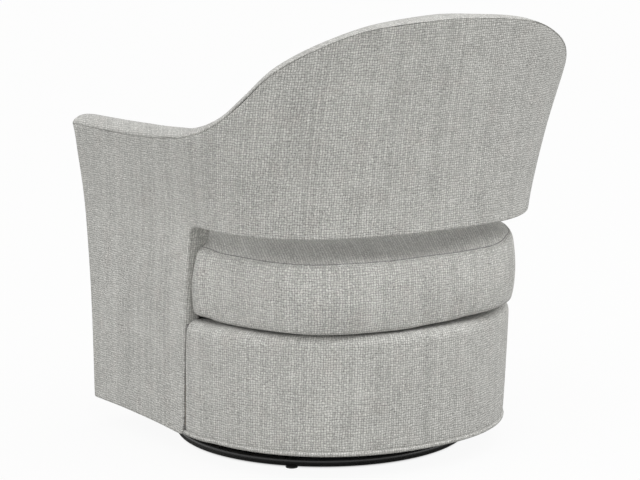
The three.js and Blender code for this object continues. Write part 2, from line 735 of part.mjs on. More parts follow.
function makeSeatBox() {
  const jambShare = JOIN_GAP / armLength;
  const columns = [1 + jambShare, ...backColumns.slice(1, -1), 3 - jambShare];
  const bandLevels = band(frameNear, frameNear + BAND_THICKNESS, level(frameLow), level(topBoardTop), 1);
  piece('seat_rear_band', wallSolid(columns, bandLevels), PLYWOOD);

  const coverTop = deck - EDGE_ROUND;
  const coverSection = () => [
    [0, frameLow],
    [0, mix(frameLow, coverTop, 1 / 3)],
    [0, mix(frameLow, coverTop, 2 / 3)],
    [0, coverTop],
    [COVER_THICKNESS / 3, deck - EDGE_ROUND / 3],
    [COVER_THICKNESS, deck],
    [COVER_THICKNESS, coverTop],
    [COVER_THICKNESS, mix(frameLow, coverTop, 2 / 3)],
    [COVER_THICKNESS, mix(frameLow, coverTop, 1 / 3)],
    [COVER_THICKNESS, frameLow],
  ];
  piece('seat_base_cover', wallSolid(columns, coverSection), CLOTH);

  const weltRadius = BASE_WELT / 2;
  const weltSection = () => upTo(8).map((k) => [
    weltRadius * (1 - Math.cos(k * Math.PI / 4)),
    underside + weltRadius * (1 + Math.sin(k * Math.PI / 4)),
  ]);
  piece('seat_base_welt', wallSolid(columns, weltSection), CLOTH);

  const front = seatFront;
  const half = innerHalf - LAYER_GAP;
  const panel = new THREE.Shape([
    new THREE.Vector2(front, underside),
    new THREE.Vector2(front + COVER_THICKNESS, underside),
    new THREE.Vector2(front + COVER_THICKNESS, deck),
    new THREE.Vector2(front + COVER_THICKNESS / 2, deck - EDGE_ROUND / 3),
    new THREE.Vector2(front, deck - EDGE_ROUND),
  ]);
  const frontCover = new THREE.ExtrudeGeometry(panel, { depth: 2 * half, bevelEnabled: false });
  frontCover.rotateX(Math.PI / 2).rotateZ(Math.PI / 2).translate(-half, 0, 0);
  piece('seat_front_cover', frontCover, CLOTH);

  const boardFront = front + frameNear;
  const boardBack = boardFront + FRONT_BOARD_THICKNESS;
  const board = block(-half, half, boardFront, boardBack, frameLow, topBoardTop);
  piece('seat_front_board', board, PLYWOOD);
}

// Webbing over the opening, and the padded deck that the cushion rests on
function makeDeck() {
  const low = topBoardTop + JOIN_GAP;
  const lap = RAIL_THICKNESS;
  for (let i = 0; i < 3; i++) {
    const x = (i - 1) * WEBBING_SPACING;
    const half = WEBBING_WIDTH / 2;
    const reach = BOARD_OPENING + lap;
    const strap = block(x - half, x + half, -reach, reach, low, low + WEBBING_THICKNESS);
    piece(`deck_webbing_${i + 1}`, strap, WEB);
  }
  const padLow = low + WEBBING_THICKNESS + JOIN_GAP;
  const front = seatFront + frameNear;
  const jamb = jambLine(deck) + LAYER_GAP;
  const half = innerHalf - LAYER_GAP;
  const rear = rearArc(padLow, frameNear, jamb + LAYER_GAP, 12);
  const outline = [
    new THREE.Vector2(-half, jamb),
    new THREE.Vector2(-half, front),
    new THREE.Vector2(half, front),
    new THREE.Vector2(half, jamb),
    ...rear,
  ];
  piece('deck_pad', slab(outline, padLow, deck), PADDING);
}

function makeDustCovers() {
  const high = frameLow - JOIN_GAP;
  const low = high - DUST_CLOTH;
  const front = seatFront + frameNear;
  const depth = BASE_WELT + LAYER_GAP;
  const back = -BOARD_OPENING;
  const frontCloth = [
    new THREE.Vector2(boxHalf(front, low, depth + FRAME_THICKNESS), front),
    new THREE.Vector2(boxHalf(back, low, depth), back),
    new THREE.Vector2(-boxHalf(back, low, depth), back),
    new THREE.Vector2(-boxHalf(front, low, depth + FRAME_THICKNESS), front),
  ];
  piece('dust_cover_front', slab(frontCloth, low, high), DUST);
  piece('dust_cover_rear', slab(rearArc(low, depth, BOARD_OPENING, 9), low, high), DUST);
}

// Wooden frame of one arm, in one layer of the wall: front post, panel and jamb post
function makeArmFrame() {
  const cover = frameNear / armLength;
  const post = POST_WIDTH / armLength;
  const gap = JOIN_GAP / armLength;
  const top = belowRim(RIM_PAD + JOIN_GAP);
  const section = band(frameNear, frameFar, level(frameLow), top, 4);
  const postColumns = (from) => steps(from, from + post, 1);
  pair('front_post', wallSolid(postColumns(cover), section), WOOD);
  const panelFrom = cover + post + gap;
  const panelTo = 1 - cover - post - gap;
  pair('arm_frame', wallSolid(steps(panelFrom, panelTo, 5), section), PLYWOOD);
  pair('jamb_post', wallSolid(postColumns(1 - cover - post), section), WOOD);
}

// Bent rails and a slat of the back frame
function makeBackFrame() {
  const start = 1 - (frameNear - JOIN_GAP) / armLength;
  const columns = [start, ...backColumns, 4 - start];
  const top = RIM_PAD + JOIN_GAP;
  const topRail = band(frameNear, frameFar, belowRim(top + TOP_RAIL_HEIGHT), belowRim(top), 1);
  piece('back_top_rail', wallSolid(columns, topRail), PLYWOOD);
  const railLow = shellEdge + frameNear;
  const railHigh = railLow + BOTTOM_RAIL_HEIGHT;
  const bottomRail = band(frameNear, frameFar, level(railLow), level(railHigh), 1);
  piece('back_bottom_rail', wallSolid(columns, bottomRail), PLYWOOD);
  const slatHigh = belowRim(top + TOP_RAIL_HEIGHT + JOIN_GAP);
  const slat = band(frameNear, frameFar, level(railHigh + JOIN_GAP), slatHigh, SLAT_RISES);
  const slatColumns = backColumns.filter((column) => Math.abs(column - 2) < SLAT_SHARE);
  piece('back_slat', wallSolid(slatColumns, slat), WOOD);
}

// Outer cover of one arm, turned in round its front and round the jamb of the window
function makeArmCovers() {
  const skin = COVER_THICKNESS / armLength;
  // The way out follows the outer face and then the front, the way back runs inside it
  const side = armColumns.slice(1).reverse();
  const across = CREST_SHARES.slice(1);
  const wayOut = [
    ...side.map((column) => [column, 0, 0]),
    [0, 0, 0],
    ...across.map((share) => [0, 0, share]),
  ];
  const wayBack = [
    ...side.map((column) => [column, COVER_THICKNESS, 0]),
    [skin, COVER_THICKNESS, 0],
    ...across.map((share) => [skin, 0, share]),
  ].reverse();
  const plan = [...wayOut, ...wayBack];
  const columnHeights = plan.map(([column, , share]) => {
    const rim = rimHeight(column);
    return wallLevels(underside, rim + crestRise(share, wallThickness(column, rim)), 4);
  });
  const loops = columnHeights[0].map((_, level) => plan.map(([column, depth, share], i) => {
    const z = columnHeights[i][level];
    return wallPoint(column, depth + share * wallThickness(column, z), z);
  }));
  const sheet = loft(loops, strip(0, plan.length - 1, plan.length / 2));

  const jambHeights = steps(deck + JOIN_GAP, shellEdge, 4);
  const jambSection = (column) => [
    ...jambHeights.map((z) => [COVER_THICKNESS / 2, z]),
    ...jambHeights.slice().reverse().map((z) => [wallThickness(column, z), z]),
  ];
  const jamb = wallSolid([1 - skin, 1 - JOIN_GAP / armLength], jambSection);
  pair('arm_cover', join(sheet, jamb), CLOTH);
}

function makeBackCover() {
  const start = 1 + JOIN_GAP / armLength;
  const columns = [start, ...backColumns.slice(1, -1), 4 - start];
  const cover = band(0, COVER_THICKNESS, level(shellEdge), rimHeight, COVER_RISES);
  piece('back_cover', wallSolid(columns, cover), CLOTH);
}

// Section of the padding: inner face, crown over the rim, and the step that sits on the frame
function padSection(low, rises) {
  return (column) => {
    const rim = rimHeight(column);
    const thickness = wallThickness(column, rim);
    const crest = CREST_SHARES.map((share) => {
      const z = rim + JOIN_GAP + crestRise(share, thickness);
      return [share * wallThickness(column, Math.min(z, rim)), z];
    });
    const face = wallLevels(low, rim - RIM_PAD, rises).reverse();
    return [
      ...crest,
      ...face.map((z) => [wallThickness(column, z), z]),
      ...face.slice().reverse().map((z) => [padNear, z]),
      [frameNear, rim - RIM_PAD],
      [frameNear, rim + JOIN_GAP],
    ];
  };
}

// Triangles of that section: a fan round the corner of the step, and the strip below it
function padEnd(section) {
  const crestCount = CREST_SHARES.length;
  const faceCount = (section.length - crestCount - 2) / 2;
  const corner = section.length - 3;
  const fan = upTo(crestCount).map((k) => [corner, k, k + 1]);
  return [
    [corner, corner + 1, corner + 2],
    [corner, corner + 2, 0],
    ...fan,
    ...strip(crestCount, corner, faceCount),
  ];
}

function makePads() {
  const edge = frameNear / armLength;
  const armLow = deck + JOIN_GAP;
  const armSection = padSection(armLow, 4);
  const arm = wallSolid(steps(edge, 1 - edge, 8), armSection, padEnd(armSection(0)));
  pair('arm_pad', arm, PADDING);
  const start = 1 - edge + JOIN_GAP / armLength;
  const backSection = padSection(shellEdge + JOIN_GAP, PAD_RISES);
  const back = wallSolid([start, ...backColumns, 4 - start], backSection, padEnd(backSection(1)));
  piece('back_pad', back, PADDING);
}

// Plan of the boxed cushion: round behind, nearly square in front
function cushionLoop(inset, z) {
  const half = CUSHION_HALF_WIDTH - inset;
  const middle = JAMB_HIGH;
  const rear = CUSHION_REAR - middle - inset;
  const front = CUSHION_FRONT + middle - inset;
  const quarterSteps = 11;
  const rearHalf = steps(0, 1, quarterSteps).map((share) => quarter(half, rear, CUSHION_REAR_ROUNDNESS, share));
  const frontLoop = steps(0, 1, quarterSteps).map((share) => quarter(half, front, CUSHION_FRONT_ROUNDNESS, share));
  const inner = (list) => list.slice(1, -1);
  const points = [
    ...rearHalf.map(([x, y]) => [x, y]),
    ...inner(rearHalf).reverse().map(([x, y]) => [-x, y]),
    ...frontLoop.map(([x, y]) => [-x, -y]),
    ...inner(frontLoop).reverse().map(([x, y]) => [x, -y]),
  ];
  return points.map(([x, y]) => new THREE.Vector3(x, middle + y, z));
}

// The cushion's top and bottom seams are drawn in, its band bulges and its top is crowned
function makeCushion() {
  const weltRadius = WELT / 2;
  const topInsets = [CUSHION_HALF_WIDTH / 3, CUSHION_HALF_WIDTH / 6, CUSHION_HALF_WIDTH / 16];
  const loops = [cushionLoop(weltRadius + CUSHION_BULGE, cushionBottom)];
  loops.push(cushionLoop(weltRadius, seamLow));
  for (const share of BAND_SHARES) {
    const bulge = CUSHION_BULGE * Math.sin(share * Math.PI);
    loops.push(cushionLoop(-bulge, mix(seamLow + weltRadius, seamHigh - weltRadius, share)));
  }
  loops.push(cushionLoop(weltRadius, seamHigh));
  const crown = (inset) => {
    const slope = 1 - inset / (CUSHION_HALF_WIDTH / 2);
    return CUSHION_CROWN * (1 - Math.max(slope, 0) ** 2);
  };
  for (const inset of [weltRadius + CUSHION_BULGE, ...topInsets.slice().reverse()]) {
    loops.push(cushionLoop(inset, seamHigh + crown(inset)));
  }
  const last = loops[loops.length - 1];
  const cushion = loft(loops, filledEnd(loopFlat(last)));
  piece('seat_cushion', cushion, CLOTH);

  for (const [name, z] of [['top', seamHigh], ['bottom', seamLow]]) {
    piece(`cushion_welt_${name}`, weltRing(z), CLOTH);
  }
}

// Piping round the cushion, let into the drawn-in seam
function weltRing(z) {
  const radius = WELT / 2;
  const centres = cushionLoop(-JOIN_GAP, z);
  const count = centres.length;
  const sides = 6;
  const positions = [];
  const faces = [];
  centres.forEach((centre, i) => {
    const before = centres[(i + count - 1) % count];
    const after = centres[(i + 1) % count];
    const tangent = after.clone().sub(before).normalize();
    const outward = tangent.clone().cross(new THREE.Vector3(0, 0, 1));
    for (let k = 0; k < sides; k++) {
      const angle = k * 2 * Math.PI / sides;
      const p = centre.clone().addScaledVector(outward, radius * Math.cos(angle));
      positions.push(p.x, p.y, p.z + radius * Math.sin(angle));
      const a = i * sides + k;
      const b = i * sides + (k + 1) % sides;
      const c = ((i + 1) % count) * sides + (k + 1) % sides;
      const d = ((i + 1) % count) * sides + k;
      faces.push(a, b, c, a, c, d);
    }
  });
  return closedBody(positions, faces);
}

makeBase();
makeBearing();
makeSwivel();
makeSprings();
makeRocker();
makeBoards();
makeSeatBox();
makeDeck();
makeDustCovers();
makeArmFrame();
makeBackFrame();
makeArmCovers();
makeBackCover();
makePads();
makeCushion();

// The origin is the middle of the chair's outline on the floor
const box = new THREE.Box3().setFromObject(chair, true);
const shift = -(box.min.y + box.max.y) / 2;
chair.position.set(0, shift, 0);
console.log('swivel axis at y', shift.toFixed(3), 'rock axis at z', pivotHeight.toFixed(3));

export default chair;
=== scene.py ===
# %% [markdown]
# # A barrel-back chair that turns and rocks
# The chair stands on a round steel base, turns on a bearing and rocks on a rod. Its wooden frame comes
# ready made, as a set of named solids that are already in place. This lesson dresses them: cloth, padding,
# piping, a boxed cushion, springs and paint. The opening below the back is part of the design, so the
# cushion shows from behind.

import math

import bmesh
import bpy
import numpy as np
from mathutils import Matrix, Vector, kdtree, noise


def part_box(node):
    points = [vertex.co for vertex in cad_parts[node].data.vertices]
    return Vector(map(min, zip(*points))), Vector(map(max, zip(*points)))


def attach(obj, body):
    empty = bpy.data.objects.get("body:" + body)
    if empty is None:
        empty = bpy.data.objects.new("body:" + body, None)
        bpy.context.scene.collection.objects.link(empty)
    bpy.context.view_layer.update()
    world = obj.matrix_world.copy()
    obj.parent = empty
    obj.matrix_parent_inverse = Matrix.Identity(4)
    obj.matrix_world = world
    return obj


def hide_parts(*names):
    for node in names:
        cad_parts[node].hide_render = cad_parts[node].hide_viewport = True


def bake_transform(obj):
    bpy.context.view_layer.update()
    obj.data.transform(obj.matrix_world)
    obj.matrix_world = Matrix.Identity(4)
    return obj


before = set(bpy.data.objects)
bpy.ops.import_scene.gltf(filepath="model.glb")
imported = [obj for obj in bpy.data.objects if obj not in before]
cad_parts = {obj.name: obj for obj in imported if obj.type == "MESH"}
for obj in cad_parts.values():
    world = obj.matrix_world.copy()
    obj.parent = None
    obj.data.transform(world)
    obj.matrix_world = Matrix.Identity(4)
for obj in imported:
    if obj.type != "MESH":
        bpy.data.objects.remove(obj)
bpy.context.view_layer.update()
print("frame opened:", len(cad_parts), "solids")

# %% [markdown]
# ## Where the sizes come from
# The frame was drawn in millimetres, and its curves follow from a few named sizes. A cover has to lie on
# those curves to a millimetre, so the same sizes are written here again. One could also sample points from
# the solids, but a formula stays smooth however finely it is cut.

# %% Heights and half widths of the chair, in millimetres
MM = 0.001
ROW_SHIFT = -57.534
UNDERSIDE = 47.8
DECK = 261.8
SHELL_EDGE = 440.1
ARM_RIM = 593.1
BACK_RIM = 821.1
INNER_HALF = 297.8
INNER_ROUNDNESS = 2.4
ARM_WALL = 43
REAR_OUTSIDE = 363.4
BACK_WALL = 72
BACK_RECLINE = 40
FRONT_REACH = 294
FRONT_LEAN = 11.6
RIM_CROWN = 12.4
RIM_DROP = 26
CREST_INSET = 30
FRONT_ROUND = 15
FOOT_ROUND = 6
ARM_FRONT = -340 * MM
WINDOW_CORNER = 22
FLARE_HEIGHT = 398
SIDE_FLARE = (116, 1.19)
REAR_FLARE = (64, 1.5)
ARM_FLARE = (34.6, 3.27)


def spot(x, y, z):
    """A point of the drawing, in metres and in the frame's own place"""
    return Vector((x, y + ROW_SHIFT, z)) * MM


print("rim runs from", ARM_RIM, "mm at the arms to", BACK_RIM, "mm behind")

# %% [markdown]
# ## Curves that pass through a few rows of numbers
# The height of the rim isn't a straight line: it stays level along the arm, then sweeps up to the back. A
# short table says how far up it is at each place, and a smooth curve fills in the rest. An ordinary spline
# would swing past the level parts, so the slopes at the rows are held back, which keeps it between them.

# %% A smooth table


def smooth_table(rows):
    """Return a curve through rows of (place, value) that never swings past them"""
    places = [place for place, _ in rows]
    values = [value for _, value in rows]
    slopes = [(values[i + 1] - values[i]) / (places[i + 1] - places[i]) for i in range(len(rows) - 1)]
    tangents = [slopes[0]]
    for before, after in zip(slopes, slopes[1:]):
        tangents.append(2 * before * after / (before + after) if before * after > 0 else 0)
    tangents.append(slopes[-1])

    def read(place):
        place = min(max(place, places[0]), places[-1])
        i = min(sum(place >= p for p in places[1:-1]), len(slopes) - 1)
        span = places[i + 1] - places[i]
        t = (place - places[i]) / span
        rise = t * t * (3 - 2 * t)
        start_pull = t * (1 - t) ** 2 * span * tangents[i]
        end_pull = t * t * (t - 1) * span * tangents[i + 1]
        return values[i] + (values[i + 1] - values[i]) * rise + start_pull + end_pull

    return read


rim_share = smooth_table([
    (0, 0), (0.35, 0), (0.7, 0.016), (1, 0.055), (1.12, 0.111), (1.24, 0.209),
    (1.36, 0.373), (1.5, 0.616), (1.65, 0.797), (1.82, 0.944), (2, 1),
])
side_half = smooth_table([
    (UNDERSIDE, INNER_HALF + 21.2), (DECK, INNER_HALF + 32.2), (SHELL_EDGE, INNER_HALF + 36),
])
rear_reach = smooth_table([(UNDERSIDE, 349), (DECK, 359.7), (SHELL_EDGE, REAR_OUTSIDE)])
roundness = smooth_table([(UNDERSIDE, 2.22), (DECK, 2.05), (SHELL_EDGE, 2.62)])
jamb_line = smooth_table([(UNDERSIDE, 18), (SHELL_EDGE, 75)])
print("rim half way round to the back:", round(rim_share(1.5), 3))

# %% [markdown]
# ## The wall that the chair is made of
# Arms and back are one wall. A place on it has a column, from 0 at the front of the left arm, 1 where the
# arm ends at the opening, 2 at the middle of the back, to 4 at the front of the right arm, then a height
# and a depth into the wall. In plan the back is a rounded square, the kind of curve that one power sets.

# %% Places on the wall


def mirrored(column):
    """The same column on the left half"""
    return 4 - column if column > 2 else column


def rim_height(column):
    """Height of the seam at the rim"""
    return ARM_RIM + (BACK_RIM - ARM_RIM) * rim_share(mirrored(column))


def flare(z, size, power):
    """How far the wall leans out above the opening's top"""
    return size * (max(z - SHELL_EDGE, 0) / FLARE_HEIGHT) ** power


def front_line(z):
    """Where the arms end in front"""
    return -(FRONT_REACH + FRONT_LEAN * (z - UNDERSIDE) / (ARM_RIM - UNDERSIDE))


def quarter(half, reach, power, share):
    """A place on a quarter of a rounded square, from its side to its rear"""
    angle = share * math.pi / 2
    return Vector((
        half * max(math.cos(angle), 0) ** (2 / power),
        reach * max(math.sin(angle), 0) ** (2 / power),
    ))


def outer(column, z):
    """Outside of the wall in plan, left half"""
    side = side_half(z) + flare(z, *SIDE_FLARE)
    jamb = jamb_line(z)
    if column <= 1:
        rise = max(z - UNDERSIDE, 0) / (ARM_RIM - UNDERSIDE)
        out, power = ARM_FLARE
        front = Vector((INNER_HALF + ARM_WALL + out * rise ** power, front_line(z)))
        return front.lerp(Vector((side, jamb)), column)
    rear = rear_reach(z) + flare(z, *REAR_FLARE)
    return quarter(side, rear - jamb, roundness(z), column - 1) + Vector((0, jamb))


def inner(column, z):
    """Inside of the wall in plan, left half"""
    if column <= 1:
        return Vector((INNER_HALF, outer(column, z).y))
    jamb = jamb_line(z)
    lean = BACK_RECLINE * max(z - SHELL_EDGE, 0) / (BACK_RIM - SHELL_EDGE)
    rear = REAR_OUTSIDE - BACK_WALL + lean
    return quarter(INNER_HALF, rear - jamb, INNER_ROUNDNESS, column - 1) + Vector((0, jamb))


def thickness(column, z):
    """How thick the wall is"""
    own = mirrored(column)
    return (outer(own, z) - inner(own, z)).length


def held_in(value, high=1):
    """Hold a number between 0 and its high end"""
    return min(max(value, 0), high)


def soft_step(value):
    """From 0 to 1 with a soft start and end"""
    value = held_in(value)
    return value * value * (3 - 2 * value)


def ramp(value, start, end):
    """From 0 at one place to 1 at another, soft at both"""
    return soft_step((value - start) / (end - start))


def front_turn(y, z):
    """How far the front of an arm draws in: its round is tight at the foot and full at the top"""
    fuller = 0.4 * ramp(z, 330, 450) + 0.6 * ramp(z, 520, 580)
    radius = FOOT_ROUND + (FRONT_ROUND - FOOT_ROUND) * fuller
    near = held_in(y - front_line(z), radius)
    return radius - math.sqrt(radius ** 2 - (radius - near) ** 2)


def wall(column, depth, z):
    """A point of the wall, in drawing millimetres"""
    own = mirrored(column)
    outside, inside = outer(own, z), inner(own, z)
    across = (inside - outside).length
    turn = front_turn(outside.y, z) if own <= 1 else 0
    plan = outside + (inside - outside) * ((turn + depth * (across - 2 * turn) / across) / across)
    drop = turn * soft_step((z - rim_height(own) + 40) / 40)
    return Vector((-plan.x if column > 2 else plan.x, plan.y, z - drop))


def crest_rise(depth, across):
    """Height of the padded rim above the seam, across the wall"""
    inset = min(CREST_INSET, across / 2)
    if depth <= inset:
        return RIM_CROWN * (1 - (1 - depth / inset) ** 2)
    fall = min((depth - inset) / (across - inset), 1)
    return RIM_CROWN - (RIM_CROWN + RIM_DROP) * (1 - math.sqrt(1 - fall * fall))


print("wall thickness at arm, jamb and back:", [round(thickness(c, SHELL_EDGE), 1) for c in (0, 1, 2)])

# %% [markdown]
# ## How the weave lies
# Cloth is cut flat, so its threads keep their spacing however the chair bends. Each corner of each face
# therefore gets its place on the flat cloth, in metres: along the wall for one thread, up the wall for the
# other. The lengths round the wall are added up once, in a table, and read back from there.

# %% Lengths round the wall
GIRTH_STEP = 20.0
GIRTH_TOP = 859
GIRTH_COLUMNS = np.linspace(0, 2, 161)
GIRTH_HEIGHTS = np.arange(40, 861, GIRTH_STEP)


def girth_table(line):
    table = []
    for z in GIRTH_HEIGHTS:
        points = np.array([line(column, z) for column in GIRTH_COLUMNS])
        steps = np.linalg.norm(np.diff(points, axis=0), axis=1)
        lengths = np.concatenate([[0], np.cumsum(steps)])
        table.append(lengths - lengths[-1])
    return np.array(table)


OUTER_GIRTH = girth_table(outer)
INNER_GIRTH = girth_table(inner)


def girth(column, z, table=OUTER_GIRTH):
    """Length along the wall from the middle of the back, negative to the left"""
    own = mirrored(column)
    level = float(np.clip((z - GIRTH_HEIGHTS[0]) / GIRTH_STEP, 0, len(GIRTH_HEIGHTS) - 1.001))
    below = int(level)
    low = np.interp(own, GIRTH_COLUMNS, table[below])
    high = np.interp(own, GIRTH_COLUMNS, table[below + 1])
    length = float(low + (high - low) * (level - below))
    return -length if column > 2 else length


print("outside of the wall at the shell's edge:", round(-2 * girth(0, SHELL_EDGE)), "mm round")

# %% [markdown]
# ## A sheet of cloth, patch by patch
# A cover is a mesh of four-sided faces. Rows of points make a patch, patches that meet are welded, and a
# free edge can be turned in round a small radius, as cloth is over a board. bmesh builds all of this with
# its texture coordinates, so that the weave survives the welding.

# %% The sheet
scene = bpy.context.scene


class Sheet:
    """Cloth made of patches of quads; every corner knows its place on the weave"""

    TURN_STEPS = 4

    def __init__(self):
        self.mesh = bmesh.new()
        self.weave = self.mesh.loops.layers.uv.new("Weave")

    def patch(self, columns, threads, loop=False):
        """columns[i][j] are points in drawing millimetres, threads[i][j] their (u, v)"""
        grid = [[self.mesh.verts.new(spot(*p)) for p in column] for column in columns]
        last = len(grid) if loop else len(grid) - 1
        for i in range(last):
            k = (i + 1) % len(grid)
            for j in range(len(grid[i]) - 1):
                corners = (grid[i][j], grid[k][j], grid[k][j + 1], grid[i][j + 1])
                places = (threads[i][j], threads[i + 1][j], threads[i + 1][j + 1], threads[i][j + 1])
                face = self.mesh.faces.new(corners)
                for corner, place in zip(face.loops, places):
                    corner[self.weave].uv = (place[0] * MM, place[1] * MM)

    def weld(self, reach=0.05):
        """Join the points where patches meet"""
        bmesh.ops.remove_doubles(self.mesh, verts=self.mesh.verts, dist=reach * MM)
        bmesh.ops.dissolve_degenerate(self.mesh, edges=self.mesh.edges, dist=1e-6)
        self.mesh.normal_update()

    def turn_in(self, edge, radius, facing):
        """Turn a free edge in; it is given as (point, (u, v, du, dv), reach), where du, dv say which way the
        threads run on, and reach how far the cloth goes after the round"""
        steps = self.TURN_STEPS
        path, threads, reach = zip(*edge)
        tree = kdtree.KDTree(len(self.mesh.verts))
        verts = list(self.mesh.verts)
        for i, vert in enumerate(verts):
            tree.insert(vert.co, i)
        tree.balance()
        found = [verts[tree.find(spot(*p))[1]] for p in path]
        rows = [[] for _ in range(steps + 2)]
        for i, vert in enumerate(found):
            along = (found[min(i + 1, len(found) - 1)].co - found[max(i - 1, 0)].co).normalized()
            away = along.cross(vert.normal).normalized() * facing
            normal = vert.normal
            point = Vector(path[i])
            for k in range(steps + 1):
                angle = k / steps * math.pi / 2
                turned = away * math.sin(angle) - normal * (1 - math.cos(angle))
                rows[k].append(point + turned * radius)
            rows[-1].append(point + away * radius - normal * (radius + reach[i]))
        lengths = [radius * k / steps * math.pi / 2 for k in range(steps + 1)]
        places = [[(u + du * d, v + dv * d) for (u, v, du, dv) in threads] for d in lengths]
        places.append([(u + du * (lengths[-1] + r), v + dv * (lengths[-1] + r))
                       for (u, v, du, dv), r in zip(threads, reach)])
        if facing > 0:
            self.patch(rows, places)
        else:
            self.patch(list(map(list, zip(*rows))), list(map(list, zip(*places))))
        self.weld()

    def done(self, name):
        """Close the mesh and hand over a smooth-shaded object"""
        self.weld()
        data = bpy.data.meshes.new(name)
        self.mesh.to_mesh(data)
        self.mesh.free()
        for face in data.polygons:
            face.use_smooth = True
        piece = bpy.data.objects.new(name, data)
        scene.collection.objects.link(piece)
        print(f"{name}: {len(data.polygons)} faces")
        return piece


# %% Shared touches for soft pieces
CALM_LENGTH = 60 * MM
HANG_HEIGHT = 120
JOINT_PLACE = 60
HANG_BEHIND, HANG_BEFORE = 80, 150


def ease(piece, size, amount, seed, calm_from=-1.0):
    """Slow unevenness, as in hand-fitted upholstery, in metres, with none at the front ends of the arms"""
    data = piece.data
    normals = [vert.normal.copy() for vert in data.vertices]
    for vert, normal in zip(data.vertices, normals):
        share = soft_step((vert.co.y - calm_from) / CALM_LENGTH)
        vert.co += normal * noise.noise(vert.co / size + Vector((seed, seed, seed))) * amount * share


def let_hang(piece, at_joint, behind=0.0):
    """The lower edge hangs some millimetres, most where arm and seat box meet"""
    for vert in piece.data.vertices:
        low = 1 - soft_step((vert.co.z / MM - UNDERSIDE) / HANG_HEIGHT)
        past = vert.co.y / MM - ROW_SHIFT - JOINT_PLACE
        near = math.exp(-((past / (HANG_BEHIND if past > 0 else HANG_BEFORE)) ** 2))
        near *= ramp(abs(vert.co.x) / MM, 150, 240)
        vert.co.z -= low * max(at_joint * near, behind * ramp(past, -20, 40)) * MM


def finer(piece):
    """Round a piece off, with each face cut in four"""
    smooth = piece.modifiers.new("Finer", "SUBSURF")
    smooth.levels = smooth.render_levels = 1
    return piece


def place(piece, finish, body, slot_name, *nodes):
    """Give a piece its finish, the body that it rides on and the solids that it stands for"""
    piece.data.materials.clear()
    piece.data.materials.append(finish)
    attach(piece, body)
    if nodes:
        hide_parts(*nodes)


print("sheet tools ready")

# %% [markdown]
# ## Writing a material as sums
# A procedural material is arithmetic on coordinates. Wiring every sum by hand is slow to read, so a small
# class stands for a socket and lets Python's own signs add the Math nodes.

# %% Sockets as numbers


class Wire:
    """An output socket that can be added, multiplied and compared"""

    def __init__(self, finish, socket):
        self.finish = finish
        self.socket = socket

    def maths(self, operation, *values):
        names = ("Value", "Value_001", "Value_002")
        inputs = dict(zip(names, values))
        return self.finish.node("ShaderNodeMath", {"operation": operation}, inputs)

    def __add__(self, other):
        return self.maths("ADD", self, other)

    def __sub__(self, other):
        return self.maths("SUBTRACT", self, other)

    def __rsub__(self, other):
        return self.maths("SUBTRACT", other, self)

    def __mul__(self, other):
        return self.maths("MULTIPLY", self, other)

    def __pow__(self, other):
        return self.maths("POWER", self, other)

    __radd__ = __add__
    __rmul__ = __mul__

    def floor(self):
        return self.maths("FLOOR", self)

    def arch(self):
        """One round hump per whole number"""
        return self.maths("ABSOLUTE", self.maths("SINE", self * math.pi))


# %% One material with its nodes


class Finish:
    """A material, its shader and the nodes that feed it"""

    def __init__(self, name, **sockets):
        self.material = bpy.data.materials.new(name)
        self.material.use_nodes = True
        self.nodes = self.material.node_tree.nodes
        self.links = self.material.node_tree.links
        self.shader = self.nodes["Principled BSDF"]
        for socket, value in sockets.items():
            self.shader.inputs[socket.replace("_", " ")].default_value = value

    def node(self, kind, settings=None, inputs=None, output=0):
        """Add a node: its settings first, then its sockets, each a number, a colour or a wire"""
        node = self.nodes.new(kind)
        for setting, value in (settings or {}).items():
            if setting == "stops":
                self.set_stops(node.color_ramp, value)
            else:
                setattr(node, setting, value)
        for name, value in (inputs or {}).items():
            socket = next(s for s in node.inputs if name in (s.identifier, s.name) and s.enabled)
            if isinstance(value, Wire):
                self.links.new(value.socket, socket)
            else:
                socket.default_value = value
        sockets = [s for s in node.outputs if s.enabled]
        chosen = sockets[output] if isinstance(output, int) else node.outputs[output]
        return Wire(self, chosen)

    @staticmethod
    def set_stops(ramp, stops):
        while len(ramp.elements) < len(stops):
            ramp.elements.new(0.5)
        for element, (position, shade) in zip(ramp.elements, stops):
            element.position = position
            element.color = (shade, shade, shade, 1)

    def feed(self, name, wire):
        self.links.new(wire.socket, self.shader.inputs[name])

    def mix(self, factor, first, second):
        """Blend two colours"""
        settings = {"data_type": "RGBA"}
        inputs = {"Factor_Float": factor, "A_Color": first, "B_Color": second}
        return self.node("ShaderNodeMix", settings, inputs)

    def cloud(self, where, scale, detail=2.0, rough=0.5):
        inputs = {"Vector": where, "Scale": scale, "Detail": detail, "Roughness": rough}
        return self.node("ShaderNodeTexNoise", None, inputs)

    def stops(self, value, *stops):
        return self.node("ShaderNodeValToRGB", {"stops": stops}, {"Fac": value})

    def bump(self, height, distance, strength):
        inputs = {"Height": height, "Distance": distance, "Strength": strength}
        self.feed("Normal", self.node("ShaderNodeBump", None, inputs))


def grey(shade, warm=0.0):
    return (shade * (1 + warm), shade, shade * (1 - warm), 1)


print("material tools ready")

# %% [markdown]
# ## The cloth
# The cover is a fine tweed: pale nubs nearly five millimetres apart, with darker gaps where one thread dives
# under the next, and flecks that hide the order of it. A picture of cloth would repeat and blur close up.
# Here the nubs are computed: two rows of round humps cross, a chequer says which thread is on top, and
# random numbers make each thread and nub a little lighter or darker, as hand-spun yarn is.

# %% Woven cloth
WARP_SPACING = 4.7 * MM
WEFT_SPACING = 4.3 * MM
GAP_COLOUR = (0.14, 0.139, 0.131, 1)
NUB_COLOUR = (0.74, 0.735, 0.70, 1)
WARM_COLOUR = (0.71, 0.665, 0.63, 1)


